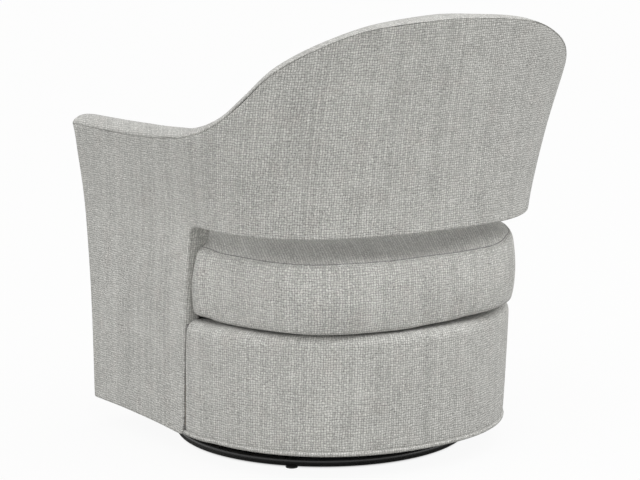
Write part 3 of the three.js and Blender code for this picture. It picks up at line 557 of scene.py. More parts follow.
def woven(name, turn=0.0):
    """Tweed on the Weave coordinates, turned by an angle for cloth cut on the bias"""
    cloth = Finish(name, Roughness=0.95, Sheen_Weight=0.18, Sheen_Roughness=0.45, Specular_IOR_Level=0.15)
    weave = cloth.node("ShaderNodeUVMap", {"uv_map": "Weave"})
    spin = {"Vector": weave, "Angle": turn}
    flat = cloth.node("ShaderNodeVectorRotate", {"rotation_type": "Z_AXIS"}, spin)
    across = cloth.node("ShaderNodeSeparateXYZ", None, {"Vector": flat}, "X")
    up = cloth.node("ShaderNodeSeparateXYZ", None, {"Vector": flat}, "Y")
    a = across * (1 / WARP_SPACING) + (cloth.cloud(flat, 60.0, 3.0) - 0.5) * 1.3
    b = up * (1 / WEFT_SPACING) + (cloth.cloud(flat, 48.0, 3.0) - 0.5) * 2.2
    chequer = {"Value": a.floor() + b.floor(), "Value_001": 1.0}
    on_top = cloth.node("ShaderNodeMath", {"operation": "PINGPONG"}, chequer)
    warp = a.arch() ** 0.75 * b.arch() ** 0.4
    weft = a.arch() ** 0.4 * b.arch() ** 0.75
    nub = warp * on_top + weft * (1 - on_top)
    cell = cloth.node("ShaderNodeCombineXYZ", None, {"X": a.floor(), "Y": b.floor()})
    luck = cloth.node("ShaderNodeTexWhiteNoise", {"noise_dimensions": "3D"}, {"Vector": cell}, "Value")
    slub = cloth.node("ShaderNodeTexWhiteNoise", {"noise_dimensions": "1D"}, {"W": a.floor()}, "Value")
    stretched = cloth.node("ShaderNodeCombineXYZ", None, {"X": across * 1.5, "Y": up * 0.8})
    fleck = cloth.cloud(stretched, 300.0, 3.0, 0.75)
    fuzz = cloth.cloud(flat, 1500.0, 2.0, 0.7)
    patches = cloth.cloud(flat, 16.0, 3.0, 0.6)
    drift = cloth.cloud(flat, 4.0, 2.0)
    light = 0.27 + nub * (0.28 + luck * 0.34 + slub * 0.22) + (fleck - 0.5) * 1.65 + (fuzz - 0.5) * 0.22
    light = light + (patches - 0.5) * 0.24 + (drift - 0.5) * 0.08
    body = cloth.mix(light, GAP_COLOUR, NUB_COLOUR)
    warmth = cloth.stops(cloth.cloud(flat, 22.0, 2.0), (0.52, 0), (0.72, 0.3))
    cloth.feed("Base Color", cloth.mix(warmth, body, cloth.mix(light, GAP_COLOUR, WARM_COLOUR)))
    cloth.bump(nub + fleck * 0.6 + fuzz * 0.35, 0.0010, 0.75)
    return cloth.material


BIAS = math.radians(23)
tweed = woven("tweed")
bias_tweed = woven("tweed_on_the_bias", BIAS)
print("cloth woven, nubs", round(WARP_SPACING / MM, 1), "mm apart")

# %% [markdown]
# ## Paint, metal, wood and rubber
# The base ring is the only hard part that is seen from outside. It is black enamel on steel tube, glossy
# but not a mirror: roller marks and dust vary its gloss. Under the seat are zinc-plated plates, oiled
# springs, rubber stops and sawn wood. Those solids are already right in shape, so they only get materials,
# on the object's own coordinates because they have no texture map.

# %% Hard finishes


def own_place(finish):
    """The object's own coordinates"""
    return finish.node("ShaderNodeTexCoord", None, None, "Object")


def enamel():
    paint = Finish("black_enamel", Base_Color=(0.011, 0.011, 0.012, 1), Coat_Weight=0.35, Coat_Roughness=0.12)
    where = own_place(paint)
    dust = paint.cloud(where, 40.0, 4.0, 0.65)
    scuffs = paint.stops(paint.cloud(where, 130.0, 3.0, 0.7), (0.60, 0), (0.78, 1))
    paint.feed("Base Color", paint.mix(dust * 0.25 + scuffs * 0.05, grey(0.008), grey(0.05)))
    paint.feed("Roughness", 0.20 + dust * 0.16 + scuffs * 0.15)
    paint.bump(paint.cloud(where, 420.0, 2.0), 0.0002, 0.35)
    return paint.material


def plated(name, shade, warm, rough):
    metal = Finish(name, Metallic=1.0)
    where = own_place(metal)
    grain = metal.cloud(where, 220.0, 4.0, 0.7)
    stains = metal.cloud(where, 18.0, 3.0, 0.6)
    metal.feed("Base Color", metal.mix(stains, grey(shade * 0.75, warm), grey(shade * 1.15, warm * 0.5)))
    metal.feed("Roughness", grain * 0.2 + stains * 0.15 + rough)
    metal.bump(grain, 0.0002, 0.3)
    return metal.material


def timber(name, pale, dark, stretch):
    wood = Finish(name, Specular_IOR_Level=0.3)
    where = wood.node("ShaderNodeMapping", None, {"Vector": own_place(wood), "Scale": stretch})
    grain = wood.cloud(where, 9.0, 6.0, 0.7)
    rings = wood.node("ShaderNodeTexWave", {"bands_direction": "Z"},
                      {"Vector": where, "Scale": 6.0, "Distortion": 7.0, "Detail": 3.0})
    wood.feed("Base Color", wood.mix(grain * 0.6 + rings * 0.4, dark, pale))
    wood.feed("Roughness", 0.6 + grain * 0.25)
    wood.bump(grain + rings * 0.4, 0.0005, 0.4)
    return wood.material


def moulded(name, low, high, rough, pore):
    plastic = Finish(name)
    where = own_place(plastic)
    bloom = plastic.cloud(where, 60.0, 3.0, 0.6)
    pores = plastic.cloud(where, pore, 2.0, 0.6)
    plastic.feed("Base Color", plastic.mix(bloom, grey(low), grey(high)))
    plastic.feed("Roughness", rough + bloom * 0.15)
    plastic.bump(pores, 0.0003, 0.4)
    return plastic.material


def strap():
    band = Finish("jute_webbing", Roughness=0.9)
    where = own_place(band)
    along = band.node("ShaderNodeSeparateXYZ", None, {"Vector": where}, "Y")
    over = band.node("ShaderNodeSeparateXYZ", None, {"Vector": where}, "X")
    weave = (along * 450.0).arch() * (over * 300.0).arch()
    stripe = band.stops((over * 25.0).arch(), (0.1, 1), (0.2, 0))
    dark, pale = (0.20, 0.15, 0.09, 1), (0.50, 0.41, 0.27, 1)
    band.feed("Base Color", band.mix(weave * 0.6 + stripe * 0.4, dark, pale))
    band.bump(weave, 0.0006, 0.7)
    return band.material


def dark_seam_shade_finish():
    """Dark finish used as painted shade in seam creases and gaps, with a strand-like grain"""
    finish = Finish("seam_thread", Roughness=0.85)
    strands = finish.cloud(own_place(finish), 900.0, 2.0)
    finish.feed("Base Color", finish.mix(strands, grey(0.14, 0.02), grey(0.24, 0.02)))
    finish.bump(strands, 0.0003, 0.4)
    return finish.material


def fleece():
    felt = Finish("black_dust_cloth", Roughness=0.95)
    where = own_place(felt)
    fibres = felt.cloud(where, 900.0, 4.0, 0.8)
    dimples = felt.node("ShaderNodeTexVoronoi", None, {"Vector": where, "Scale": 500.0})
    felt.feed("Base Color", felt.mix(fibres, grey(0.012), grey(0.045)))
    felt.bump(fibres + dimples, 0.0004, 0.5)
    return felt.material


finishes = {
    "black_paint": enamel(),
    "steel": plated("zinc_plate", 0.55, 0.02, 0.28),
    "spring_steel": plated("oiled_spring_steel", 0.16, 0.0, 0.30),
    # The nylon is darker than its own grey: painted shade, so the glides sink into the shadow under the ring
    "nylon": moulded("nylon_darkened_as_shade", 0.05, 0.08, 0.42, 500.0),
    "rubber": moulded("black_rubber", 0.018, 0.03, 0.72, 700.0),
    "hardwood": timber("sawn_hardwood", (0.52, 0.38, 0.24, 1), (0.34, 0.22, 0.12, 1), (1, 6, 6)),
    "plywood": timber("plywood", (0.62, 0.48, 0.31, 1), (0.42, 0.29, 0.17, 1), (2, 2, 16)),
    "webbing": strap(),
    "dust_cloth": fleece(),
    "woven_cloth": tweed,
    "padding": tweed,
}
# A dark finish that stands in as painted shade in seam creases and gaps
seam_thread = dark_seam_shade_finish()
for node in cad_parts.values():
    for i, plain in enumerate(node.data.materials):
        node.data.materials[i] = finishes[plain.name.split(".")[0]]
print("finishes made:", len(finishes))

# %% [markdown]
# ## The outer cover
# One length of tweed goes from the front of one arm round the back to the other, over the frame. It turns
# round the front of each arm, and round every edge of the opening. Its upper patch runs from the opening
# to the seam at the rim. Its lower patches are the arms below that. The corner of the opening is rounded:
# the columns there start on an arc. The turned edges are the last rows, bent in round a small radius.

# %% Columns round the wall
COVER_TURN = 5.0
ARM_LENGTH = jamb_line(SHELL_EDGE) - front_line(SHELL_EDGE)
FRONT_SHARES = (1, 0.95, 0.88, 0.8, 0.7, 0.6, 0.5, 0.4, 0.3, 0.2, 0.12, 0.06, 0.02)
RETURN_DEPTH = 60
RETURN_TUCK = 2.0
LOWER_TOP = SHELL_EDGE - WINDOW_CORNER


def wall_columns(gap):
    """Rows of (column, low, angle) round the wall, for a sheet that stops a gap short of the opening"""
    angles = np.linspace(0, math.pi / 2, 6)
    front = [FRONT_ROUND * (1 - math.cos(angle)) / ARM_LENGTH for angle in angles]
    last = 1 - gap / ARM_LENGTH
    left = [(column, LOWER_TOP, None) for column in front]
    left += [(float(column), LOWER_TOP, None) for column in np.linspace(front[-1], last, 20)[1:]]
    arm_count = len(left)
    radius = WINDOW_CORNER + gap
    reach = rear_reach(SHELL_EDGE) - jamb_line(SHELL_EDGE)
    for angle in np.linspace(0, math.pi / 2, 9)[1:]:
        along = radius * (1 - math.cos(angle)) - gap
        past = math.asin((max(along, 0) / reach) ** (roundness(SHELL_EDGE) / 2)) / (math.pi / 2)
        column = 1 + (past if along > 0 else along / ARM_LENGTH)
        left.append((column, LOWER_TOP + radius * math.sin(angle), float(angle)))
    start = left[-1][0]
    left += [(float(column), SHELL_EDGE + gap, math.pi / 2) for column in np.linspace(start, 2, 34)[1:]]
    right = [(4 - column, low, angle) for column, low, angle in reversed(left[:-1])]
    return left + right, arm_count


print("columns round the wall:", len(wall_columns(COVER_TURN)[0]))

# %% The rim, where cover and padding meet
CREST_END = 22
crown_share = smooth_table([
    (0, 0.95), (0.2, 1.1), (0.5, 1.3), (0.9, 1.25), (1.12, 1), (1.24, 1), (1.36, 1.3),
    (1.5, 1.1), (1.65, 0.85), (1.82, 0.6), (2, 0.5),
])
seam_drop = smooth_table([(0, 6.5), (0.3, 5.5), (0.8, 5), (1.1, 2), (1.3, 0), (2, 0)])


def crest(column, across):
    """Section over the rim: (depth, rise) from the seam to the inner face"""
    own = mirrored(column)
    end = min(own * ARM_LENGTH / CREST_END, 1)
    full = crown_share(own) * math.sqrt(1 - (1 - end) ** 2)
    drop = seam_drop(own)
    section = [(1.5, -drop), (-0.4, 1.2 * full - drop)]
    section += [(-0.2, 2.9 * full - 0.9 * drop), (1.8, 4.5 * full - 0.6 * drop)]
    inset = min(CREST_INSET, across / 2)
    for depth in np.linspace(5, inset, 5):
        swell = 2.6 * math.exp(-depth / 7)
        pulled = 0.25 * drop * math.exp(-(depth - 5) / 5)
        section.append((depth, (crest_rise(depth, across) + swell) * full - pulled))
    for angle in np.linspace(0, math.pi / 2, 8)[1:]:
        depth = inset + (across - inset) * math.sin(angle)
        rise = RIM_CROWN - (RIM_CROWN + RIM_DROP) * (1 - math.cos(angle))
        section.append((depth, rise * full if rise > 0 else rise))
    return section


# %% Points of the outer cover


def cover_point(column, share, z, tuck=0.0):
    """A point of the cover and its threads; share goes from the outside, 0, to the inside, 1"""
    across = thickness(column, z)
    own = mirrored(column)
    point = wall(column, share * across + tuck, z)
    u = girth(own, z) - share * across
    if share == 1:
        u = 2 * girth(0, z) - girth(own, z) - across
    return point, (-u if column > 2 else u, z)


def cover_top(column, share):
    """Height where the cover meets the padding"""
    rim = rim_height(column)
    if not share:
        return rim - seam_drop(mirrored(column))
    across = thickness(column, rim)
    depths, rises = zip(*crest(column, across)[3:])
    return rim + float(np.interp(share * across, depths, rises)) - 0.4


def cover_patch(heights):
    """Points and threads of columns of (column, share, [(z, tuck), ...])"""
    made = [[cover_point(column, share, z, tuck) for z, tuck in rows] for column, share, rows in heights]
    return [[p for p, _ in rows] for rows in made], [[t for _, t in rows] for rows in made]


print("cover ends at", round(cover_top(2, 0), 1), "mm behind")

# %% Sewing the outer cover


def make_outer_cover():
    cover = Sheet()
    round_wall, arm_count = wall_columns(COVER_TURN)
    columns = [(0, share, LOWER_TOP, None) for share in FRONT_SHARES]
    columns += [(column, 0, low, angle) for column, low, angle in round_wall]
    columns += [(4, share, LOWER_TOP, None) for share in reversed(FRONT_SHARES)]
    side_count = len(FRONT_SHARES) + arm_count
    upper = []
    for column, share, low, _ in columns:
        top = cover_top(column, share)
        heights = [low + (top - 4 - low) * t for t in np.linspace(0, 1, 20)]
        tuck = 0 if share else 1.3 - 0.8 * rim_share(mirrored(column))
        upper.append((column, share, [(z, 0) for z in heights] + [(top - 1.5, 0.2 * tuck), (top, tuck)]))
    cover.patch(*cover_patch(upper))
    lower_heights = [(z, 0) for z in np.linspace(UNDERSIDE + COVER_TURN, LOWER_TOP, 22)]
    for side in (columns[:side_count], columns[-side_count:]):
        cover.patch(*cover_patch([(column, share, lower_heights) for column, share, _, _ in side]))
    tucked = [(z, -RETURN_TUCK) for z, _ in lower_heights]
    behind_front = [RETURN_DEPTH / ARM_LENGTH] + [column for column, _, _ in round_wall[5:0:-1]]
    left_return = [(column, 1, tucked) for column in behind_front] + [(0, 1, lower_heights)]
    right_return = [(4, 1, lower_heights)] + [(4 - column, 1, tucked) for column in reversed(behind_front)]
    cover.patch(*cover_patch(left_return))
    cover.patch(*cover_patch(right_return))
    cover.weld()

    edge = []

    def step(column, share, z, du, dv, inward, tuck=0.0):
        point, (u, v) = cover_point(column, share, z, tuck)
        edge.append((point, (u, v, du, dv), inward))

    bottom = UNDERSIDE + COVER_TURN
    for column in behind_front:
        step(column, 1, bottom, 0, -1, 5, -RETURN_TUCK)
    for column, share, _, _ in columns[:side_count]:
        step(column, share, bottom, 0, -1, 9)
    jamb_column = columns[side_count - 1][0]
    jamb_heights = [z for z, _ in lower_heights[1:]]
    for z in jamb_heights:
        step(jamb_column, 0, z, 1, 0, thickness(1, z) - COVER_TURN - 3)
    for column, _, low, angle in columns[side_count:-side_count]:
        sideways = math.cos(angle) * (1 if column < 2 else -1)
        inward = thickness(max(column, 1), SHELL_EDGE) - COVER_TURN - 13
        step(column, 0, low, sideways, -math.sin(angle), inward)
    for z in reversed(jamb_heights):
        step(4 - jamb_column, 0, z, -1, 0, thickness(1, z) - COVER_TURN - 3)
    for column, share, _, _ in columns[-side_count:]:
        step(column, share, bottom, 0, -1, 9)
    for column in reversed(behind_front):
        step(4 - column, 1, bottom, 0, -1, 5, -RETURN_TUCK)
    cover.turn_in(edge, COVER_TURN, 1)
    piece = cover.done("outer_cover")
    ease(piece, 0.11, 0.0011, 3.1, ARM_FRONT)
    let_hang(piece, 12.5)
    return piece


outer_cover = make_outer_cover()
finer(outer_cover)
place(outer_cover, tweed, "chair", "woven_cloth", "arm_cover_left", "arm_cover_right", "back_cover")
flat_width = -2 * girth(0, ARM_RIM) * MM

# %% [markdown]
# ## The padding inside
# Foam and fleece lie on the inside of the frame and roll over its top, down to the seam. From behind only
# that roll shows, as a pale band that is broad over the arms. It swells out just above the seam, because
# the seam pulls the cloth in. Inside, the back is a little fuller in the middle, and a sewn line on each
# side draws the cloth in where back and arm meet.

# %% The padding
PAD_TURN = 10.0
PAD_GAP = PAD_TURN + 1.5
PAD_LOW = DECK + 3
SEAM_COLUMN = 1.13
SEAM_WIDTH = 9
arm_fullness = smooth_table([
    (200, 0), (388, 0), (402, 7), (414, 11.5), (440, 12.5), (500, 9.5), (545, 4.5), (567, 0), (900, 0),
])


def face_depth(column, z):
    """Inner face: rolled out above the cushion, fuller in the middle, drawn in along the sewn lines"""
    own = mirrored(column)
    top = rim_height(own) - RIM_DROP
    height = held_in((z - SHELL_EDGE) / (top - SHELL_EDGE))
    back = 9 * math.sin(math.pi * height) ** 0.8
    front_end = min(own * ARM_LENGTH / 30, 1)
    arm = arm_fullness(z) * math.sqrt(1 - (1 - front_end) ** 2)
    round_back = soft_step((own - 1) / 0.3)
    from_line = (girth(own, z, INNER_GIRTH) - girth(SEAM_COLUMN, z, INNER_GIRTH)) / SEAM_WIDTH
    line = 5 * math.exp(-from_line ** 2) * ramp(z, 415, 440)
    return thickness(column, z) + arm * (1 - round_back) + back * round_back - line


def pad_column(column, low):
    """Points and threads of one column, from the seam over the rim and down the inner face"""
    rim = rim_height(column)
    across = thickness(column, rim)
    top = rim - RIM_DROP
    section = [(depth, rim + rise, depth / across) for depth, rise in crest(column, across)]
    for z in np.linspace(top, low, 20)[1:]:
        section.append((face_depth(column, z), z, 1))
    points = [wall(column, depth, z) for depth, z, _ in section]
    v = section[-1][1]
    threads = []
    for k in range(len(points) - 1, -1, -1):
        if k < len(points) - 1:
            v += (points[k] - points[k + 1]).length
        own, z, share = mirrored(column), min(section[k][1], GIRTH_TOP), section[k][2]
        u = girth(own, z) * (1 - share) + girth(own, z, INNER_GIRTH) * share
        threads.append((-u if column > 2 else u, v))
    return points, threads[::-1]


def make_padding():
    pad = Sheet()
    columns, arm_count = wall_columns(PAD_GAP)
    made = [pad_column(column, low) for column, low, _ in columns]
    pad.patch([points for points, _ in made], [threads for _, threads in made])
    heights = list(np.linspace(LOWER_TOP, PAD_LOW + PAD_TURN, 14))
    for side in (columns[:arm_count], columns[-arm_count:]):
        points = [[wall(column, face_depth(column, z), z) for z in heights] for column, _, _ in side]
        threads = [[(girth(column, z, INNER_GIRTH), z) for z in heights] for column, _, _ in side]
        pad.patch(points, threads)
    pad.weld(0.4)

    edge = []

    def step(column, z, du, dv, inward):
        point = wall(column, face_depth(column, z), z)
        edge.append((point, (girth(column, z, INNER_GIRTH), z, du, dv), inward))

    bottom = heights[-1]
    jamb_column = columns[arm_count - 1][0]
    for column, _, _ in columns[:arm_count]:
        step(column, bottom, 0, -1, 3)
    for z in reversed(heights[:-1]):
        step(jamb_column, z, 1, 0, 5 + arm_fullness(z))
    for column, low, angle in columns[arm_count:-arm_count]:
        sideways = math.cos(angle) * (1 if column < 2 else -1)
        step(column, low, sideways, -math.sin(angle), 6 + arm_fullness(low) * 0.8)
    for z in heights[:-1]:
        step(4 - jamb_column, z, -1, 0, 5 + arm_fullness(z))
    for column, _, _ in columns[-arm_count:]:
        step(column, bottom, 0, -1, 3)
    pad.turn_in(edge, PAD_TURN, -1)
    piece = pad.done("inner_padding")
    ease(piece, 0.09, 0.0012, 7.7, ARM_FRONT)
    return piece


inner_padding = finer(make_padding())
place(inner_padding, tweed, "chair", "padding", "arm_pad_left", "arm_pad_right", "back_pad")
print("padding laid over the rim")

# %% [markdown]
# ## Piping
# Piping is a strip of the same cloth sewn round a cord. A curve with a round bevel would do, but its cloth
# would have no threads of its own, so the tube is built ring by ring, with the weave running along it.

# %% A tube along a path


def tube(name, path, radius, loop=False, sides=10, upright=Vector((0, 0, 1))):
    """A round tube through points in drawing millimetres"""
    sheet = Sheet()
    points = [Vector(p) for p in path]
    count = len(points)
    rings, threads, length = [], [], 0.0
    for i in range(count + (1 if loop else 0)):
        here = points[i % count]
        ahead = points[(i + 1) % count] if loop or i < count - 1 else here
        behind = points[i - 1] if loop or i > 0 else here
        along = (ahead - behind).normalized()
        side = along.cross(upright).normalized()
        top = side.cross(along)
        if i:
            length += (here - points[i - 1]).length
        turns = [2 * math.pi * k / sides for k in range(sides + 1)]
        rings.append([here + (side * math.cos(t) + top * math.sin(t)) * radius for t in turns])
        threads.append([(length, radius * t) for t in turns])
    if loop:
        sheet.patch(rings[:-1], threads, loop=True)
    else:
        sheet.patch(rings, threads)
    sheet.weld(0.01)
    if not loop:
        bmesh.ops.holes_fill(sheet.mesh, edges=[e for e in sheet.mesh.edges if e.is_boundary])
    bmesh.ops.recalc_face_normals(sheet.mesh, faces=sheet.mesh.faces)
    return sheet.done(name)


print("piping ready to sew")

# %% [markdown]
# ## The boxed cushion
# The loose cushion is a foam block in a box-shaped cover: a crowned top, a band that bulges between two
# seams, and a flat bottom on the deck. Inflating it as cloth, with the seams held, gives the small hollows
# and folds that modelling by hand wouldn't. The solid is made first, cut into even quads by a voxel
# remesh, blown up a little, and capped so that it can't outgrow its place.

# %% The plan of the cushion
CUSHION_HALF = 291
CUSHION_MIDDLE = 75
CUSHION_REAR = 346
CUSHION_FRONT = 303
CUSHION_CROWN = 18
CUSHION_FREE = 64
CUSHION_CENTRE = Vector((0, 20))
CUSHION_SPAN = 300
REAR_POWER = 2.95
FRONT_POWER = 8
EAR = 21
EAR_LENGTH = 70
EDGE_POINTS = 360
SEAM_SPACING = 5
SEAM_INSET = 3.5
SEAM_LOW = 265.6
SEAM_HIGH = 392.1


def cushion_edge(inset):
    """Outline of the cushion, anticlockwise from its left side, with ears where the arms let it go"""
    half = CUSHION_HALF - inset
    outline = []
    for k in range(EDGE_POINTS):
        angle = 2 * math.pi * k / EDGE_POINTS
        behind = math.sin(angle) >= 0
        reach = (CUSHION_REAR - CUSHION_MIDDLE if behind else CUSHION_FRONT + CUSHION_MIDDLE) - inset
        power = REAR_POWER if behind else FRONT_POWER
        x = half * abs(math.cos(angle)) ** (2 / power) * (1 if math.cos(angle) >= 0 else -1)
        y = reach * abs(math.sin(angle)) ** (2 / power) * (1 if behind else -1)
        past = CUSHION_MIDDLE + y - CUSHION_FREE
        wider = EAR * ramp(past, 0, 10) * math.exp(-((past / EAR_LENGTH) ** 2)) if x else 0
        outline.append((x + math.copysign(wider * min(abs(x) / 200, 1), x), CUSHION_MIDDLE + y))
    return outline


def even(outline, spacing):
    """The same closed outline with its points a set distance apart"""
    points = np.array(outline + outline[:1])
    lengths = np.concatenate([[0], np.cumsum(np.linalg.norm(np.diff(points, axis=0), axis=1))])
    places = np.linspace(0, lengths[-1], max(int(lengths[-1] / spacing), 8), endpoint=False)
    return [tuple(float(np.interp(p, lengths, points[:, axis])) for axis in (0, 1)) for p in places]


cushion_line = even(cushion_edge(SEAM_INSET), SEAM_SPACING)
print("cushion seam:", len(cushion_line) * SEAM_SPACING, "mm round")

# %% The cushion before it is filled
JAMB_NEAR = 62
BAND_POWER = 0.65
JAMB_FULLER = 0.35
CROWN_REACH = 120


def near_jamb(y, z):
    """1 beside the end of the arm, and soon less away from it"""
    return math.exp(-(((y - jamb_line(z)) / JAMB_NEAR) ** 2))


def lift(x, y, z):
    """A loose cushion never lies quite level: its rear corners ride up, the right one most"""
    share = held_in((z - SEAM_LOW) / (SEAM_HIGH - SEAM_LOW))
    low = 8 * ramp(x, 40, -160)
    high = (9 * ramp(y, 318, 288) + 6 * ramp(y, 262, 192)) * ramp(x, 0, -120)
    squeezed = 0
    if x > 0:
        low += 3 * math.exp(-(((y - 225) / 60) ** 2))
        squeezed = 8 * ramp(y, 125, 70)
    return (low * (1 - share) + high * share + squeezed) * ramp(y, 0, 120)


def band_bulge(y, z):
    """How far the band stands out half way up: held in by the arms, squeezed out behind them"""
    free = ramp(y - jamb_line(z), -3, 2)
    return 4 + 5 * free + 9 * free * near_jamb(y, z)


def make_cushion_block():
    block = bmesh.new()
    rings = []
    for share in (0.35, 0.65, 0.85, 0.95):
        rings.append((share, DECK + 2.5, 0))
    rings.append((1, SEAM_LOW, 0))
    for t in (0.04, *np.linspace(0.1, 0.9, 9), 0.96):
        rings.append((1, SEAM_LOW + (SEAM_HIGH - SEAM_LOW) * t, math.sin(math.pi * t)))
    rings.append((1, SEAM_HIGH, 0))
    for share in (0.975, 0.94, 0.88, 0.8, 0.68, 0.5, 0.3):
        inset = (1 - share) * CUSHION_SPAN
        rings.append((share, SEAM_HIGH + CUSHION_CROWN * (1 - max(1 - inset / CROWN_REACH, 0) ** 4), 0))
    loops = []
    for share, z, swell in rings:
        line = []
        for point in cushion_line:
            out = Vector(point) - CUSHION_CENTRE
            full = swell ** (BAND_POWER - JAMB_FULLER * near_jamb(point[1], z)) * band_bulge(point[1], z)
            plan = CUSHION_CENTRE + out * share + out.normalized() * full
            line.append((plan.x, plan.y, z + lift(plan.x, plan.y, z)))
        loops.append([block.verts.new(spot(*p)) for p in line])
    count = len(cushion_line)
    for low, high in zip(loops, loops[1:]):
        for i in range(count):
            block.faces.new((low[i], low[(i + 1) % count], high[(i + 1) % count], high[i]))
    block.faces.new(list(reversed(loops[0])))
    block.faces.new(loops[-1])
    data = bpy.data.meshes.new("seat_cushion_block")
    block.to_mesh(data)
    block.free()
    piece = bpy.data.objects.new("boxed_cushion", data)
    scene.collection.objects.link(piece)
    return piece


def settle(piece):
    """Replace a piece's mesh by what its modifiers make of it"""
    view = bpy.context.evaluated_depsgraph_get()
    made = bpy.data.meshes.new_from_object(piece.evaluated_get(view))
    piece.modifiers.clear()
    piece.data = made


boxed_cushion = make_cushion_block()
even_quads = boxed_cushion.modifiers.new("Even quads", "REMESH")
even_quads.mode = "VOXEL"
even_quads.voxel_size = 7.5 * MM
settle(boxed_cushion)
print("cushion cut into", len(boxed_cushion.data.vertices), "points")

# %% Filling the cushion
FILL_FRAMES = 20
HELD_BESIDE_SEAM = 6
BOTTOM_HELD = 266 * MM
seam_tree = kdtree.KDTree(2 * len(cushion_line))
for i, (x, y) in enumerate(cushion_line):
    for z in (SEAM_LOW, SEAM_HIGH):
        seam_tree.insert(spot(x, y, z + lift(x, y, z)), i)
seam_tree.balance()


def seam_distance(point):
    """Distance to the nearest seam, in millimetres"""
    return seam_tree.find(point)[2] / MM


def fill_cushion(piece, cap, pressure):
    """Blow the cushion up as cloth, with seams and bottom held, and cap how far any point moves"""
    held = piece.vertex_groups.new(name="held")
    for vert in piece.data.vertices:
        if seam_distance(vert.co) < HELD_BESIDE_SEAM or vert.co.z < BOTTOM_HELD:
            held.add([vert.index], 1.0, "REPLACE")
    before = [vert.co.copy() for vert in piece.data.vertices]
    cloth = piece.modifiers.new("Filling", "CLOTH")
    feel = {
        "quality": 5, "mass": 0.25, "use_pressure": True, "uniform_pressure_force": pressure,
        "tension_stiffness": 22, "compression_stiffness": 22, "bending_stiffness": 1.2,
        "vertex_group_mass": held.name,
    }
    for setting, value in feel.items():
        setattr(cloth.settings, setting, value)
    cloth.settings.effector_weights.gravity = 0
    cloth.point_cache.frame_start = 1
    cloth.point_cache.frame_end = FILL_FRAMES
    for number in range(1, FILL_FRAMES + 1):
        scene.frame_set(number)
    settle(piece)
    moved = 0.0
    for vert, start in zip(piece.data.vertices, before):
        move = vert.co - start
        moved = max(moved, move.length)
        if move.length > cap:
            vert.co = start + move * (cap / move.length)
    scene.frame_set(1)
    print("cushion filled, furthest move", round(moved / MM, 1), "mm")


fill_cushion(boxed_cushion, 4 * MM, 4.0)

# %% [markdown]
# ## Seams of the cushion
# Remeshing rounds off anything narrow, so the seams come after it. Points near a seam are drawn in towards
# the foam, which leaves a small groove with a soft shoulder on each side. Then the piping is laid in the
# groove. The top is cut on the bias: its threads run slantwise, the band's run straight. Just above the top
# seam a thin dark tube is laid in as painted shade, for the shadow of a crease that the mesh is too coarse
# for.

# %% Grooves beside the seams


def draw_in_seams(piece, depth, width):
    """Draw the points beside a seam in towards the foam"""
    piece.data.update()
    centre = spot(*CUSHION_CENTRE, (SEAM_LOW + SEAM_HIGH) / 2)
    for vert in piece.data.vertices:
        pull = depth * math.exp(-((seam_distance(vert.co) / width) ** 2)) * MM
        direction = Vector((centre.x - vert.co.x, centre.y - vert.co.y, 0)).normalized()
        vert.co += direction * pull


print("cushion seams lie at", SEAM_LOW, "and", SEAM_HIGH, "mm")

# %% Threads of the cushion
STRAIGHT, ON_THE_BIAS = 0, 1
FLAT_ABOVE = 0.72


def lay_threads(piece):
    """Flat threads on top and bottom, and threads that follow the band round"""
    tree = kdtree.KDTree(len(cushion_line))
    for i, (x, y) in enumerate(cushion_line):
        tree.insert(spot(x, y, 0), i)
    tree.balance()
    spacing = SEAM_SPACING * MM
    around = len(cushion_line) * spacing
    data = piece.data
    layer = data.uv_layers.get("Weave") or data.uv_layers.new(name="Weave")
    for face in data.polygons:
        flat = abs(face.normal.z) > FLAT_ABOVE
        face.material_index = ON_THE_BIAS if flat and face.normal.z > 0 else STRAIGHT
        face.use_smooth = True
        _, middle, _ = tree.find(Vector((face.center.x, face.center.y, 0)))
        for corner in face.loop_indices:
            point = data.vertices[data.loops[corner].vertex_index].co
            if flat:
                layer.data[corner].uv = (point.x, point.y)
                continue
            _, index, _ = tree.find(Vector((point.x, point.y, 0)))
            here = Vector(cushion_line[index]) * MM
            ahead = Vector(cushion_line[(index + 1) % len(cushion_line)]) * MM
            along = (ahead - here).normalized()
            offset = (Vector((point.x, point.y - ROW_SHIFT * MM)) - here).dot(along)
            u = index * spacing + offset
            if u - middle * spacing > around / 2:
                u -= around
            elif middle * spacing - u > around / 2:
                u += around
            layer.data[corner].uv = (u, point.z)


finer(boxed_cushion)
settle(boxed_cushion)
draw_in_seams(boxed_cushion, 2.4, 4.0)
ease(boxed_cushion, 0.07, 0.0016, 1.4)
place(boxed_cushion, tweed, "chair", "woven_cloth", "seat_cushion")
boxed_cushion.data.materials.append(bias_tweed)
lay_threads(boxed_cushion)
print("cushion threaded")

# %% Piping of the cushion


def seam_path(inset, z, sink):
    """A closed path on the finished surface, beside the seam and a little under the cloth"""
    path = []
    for point in cushion_line:
        place_at = CUSHION_CENTRE + (Vector(point) - CUSHION_CENTRE) * (1 - inset / CUSHION_SPAN)
        target = spot(place_at.x, place_at.y, z + lift(place_at.x, place_at.y, z))
        _, near, normal, _ = boxed_cushion.closest_point_on_mesh(target)
        path.append((near - normal * sink * MM) / MM - Vector((0, ROW_SHIFT, 0)))
    return path


CUSHION_PIPING = 2.0
top_piping = tube("cushion_piping_top", seam_path(0, SEAM_HIGH, 0.6), CUSHION_PIPING, loop=True)
bottom_piping = tube("cushion_piping_bottom", seam_path(0, SEAM_LOW, 1.4), CUSHION_PIPING, loop=True)
# A thin dark tube as painted shade: it stands for the crease shadow just above the top seam
crease = tube("cushion_crease_shade_line", seam_path(3.2, SEAM_HIGH + 2.2, 0.1), 0.8, loop=True, sides=6)
place(crease, seam_thread, "chair", "woven_cloth")
place(top_piping, tweed, "chair", "woven_cloth", "cushion_welt_top")
place(bottom_piping, tweed, "chair", "woven_cloth", "cushion_welt_bottom")
print("cushion sewn")
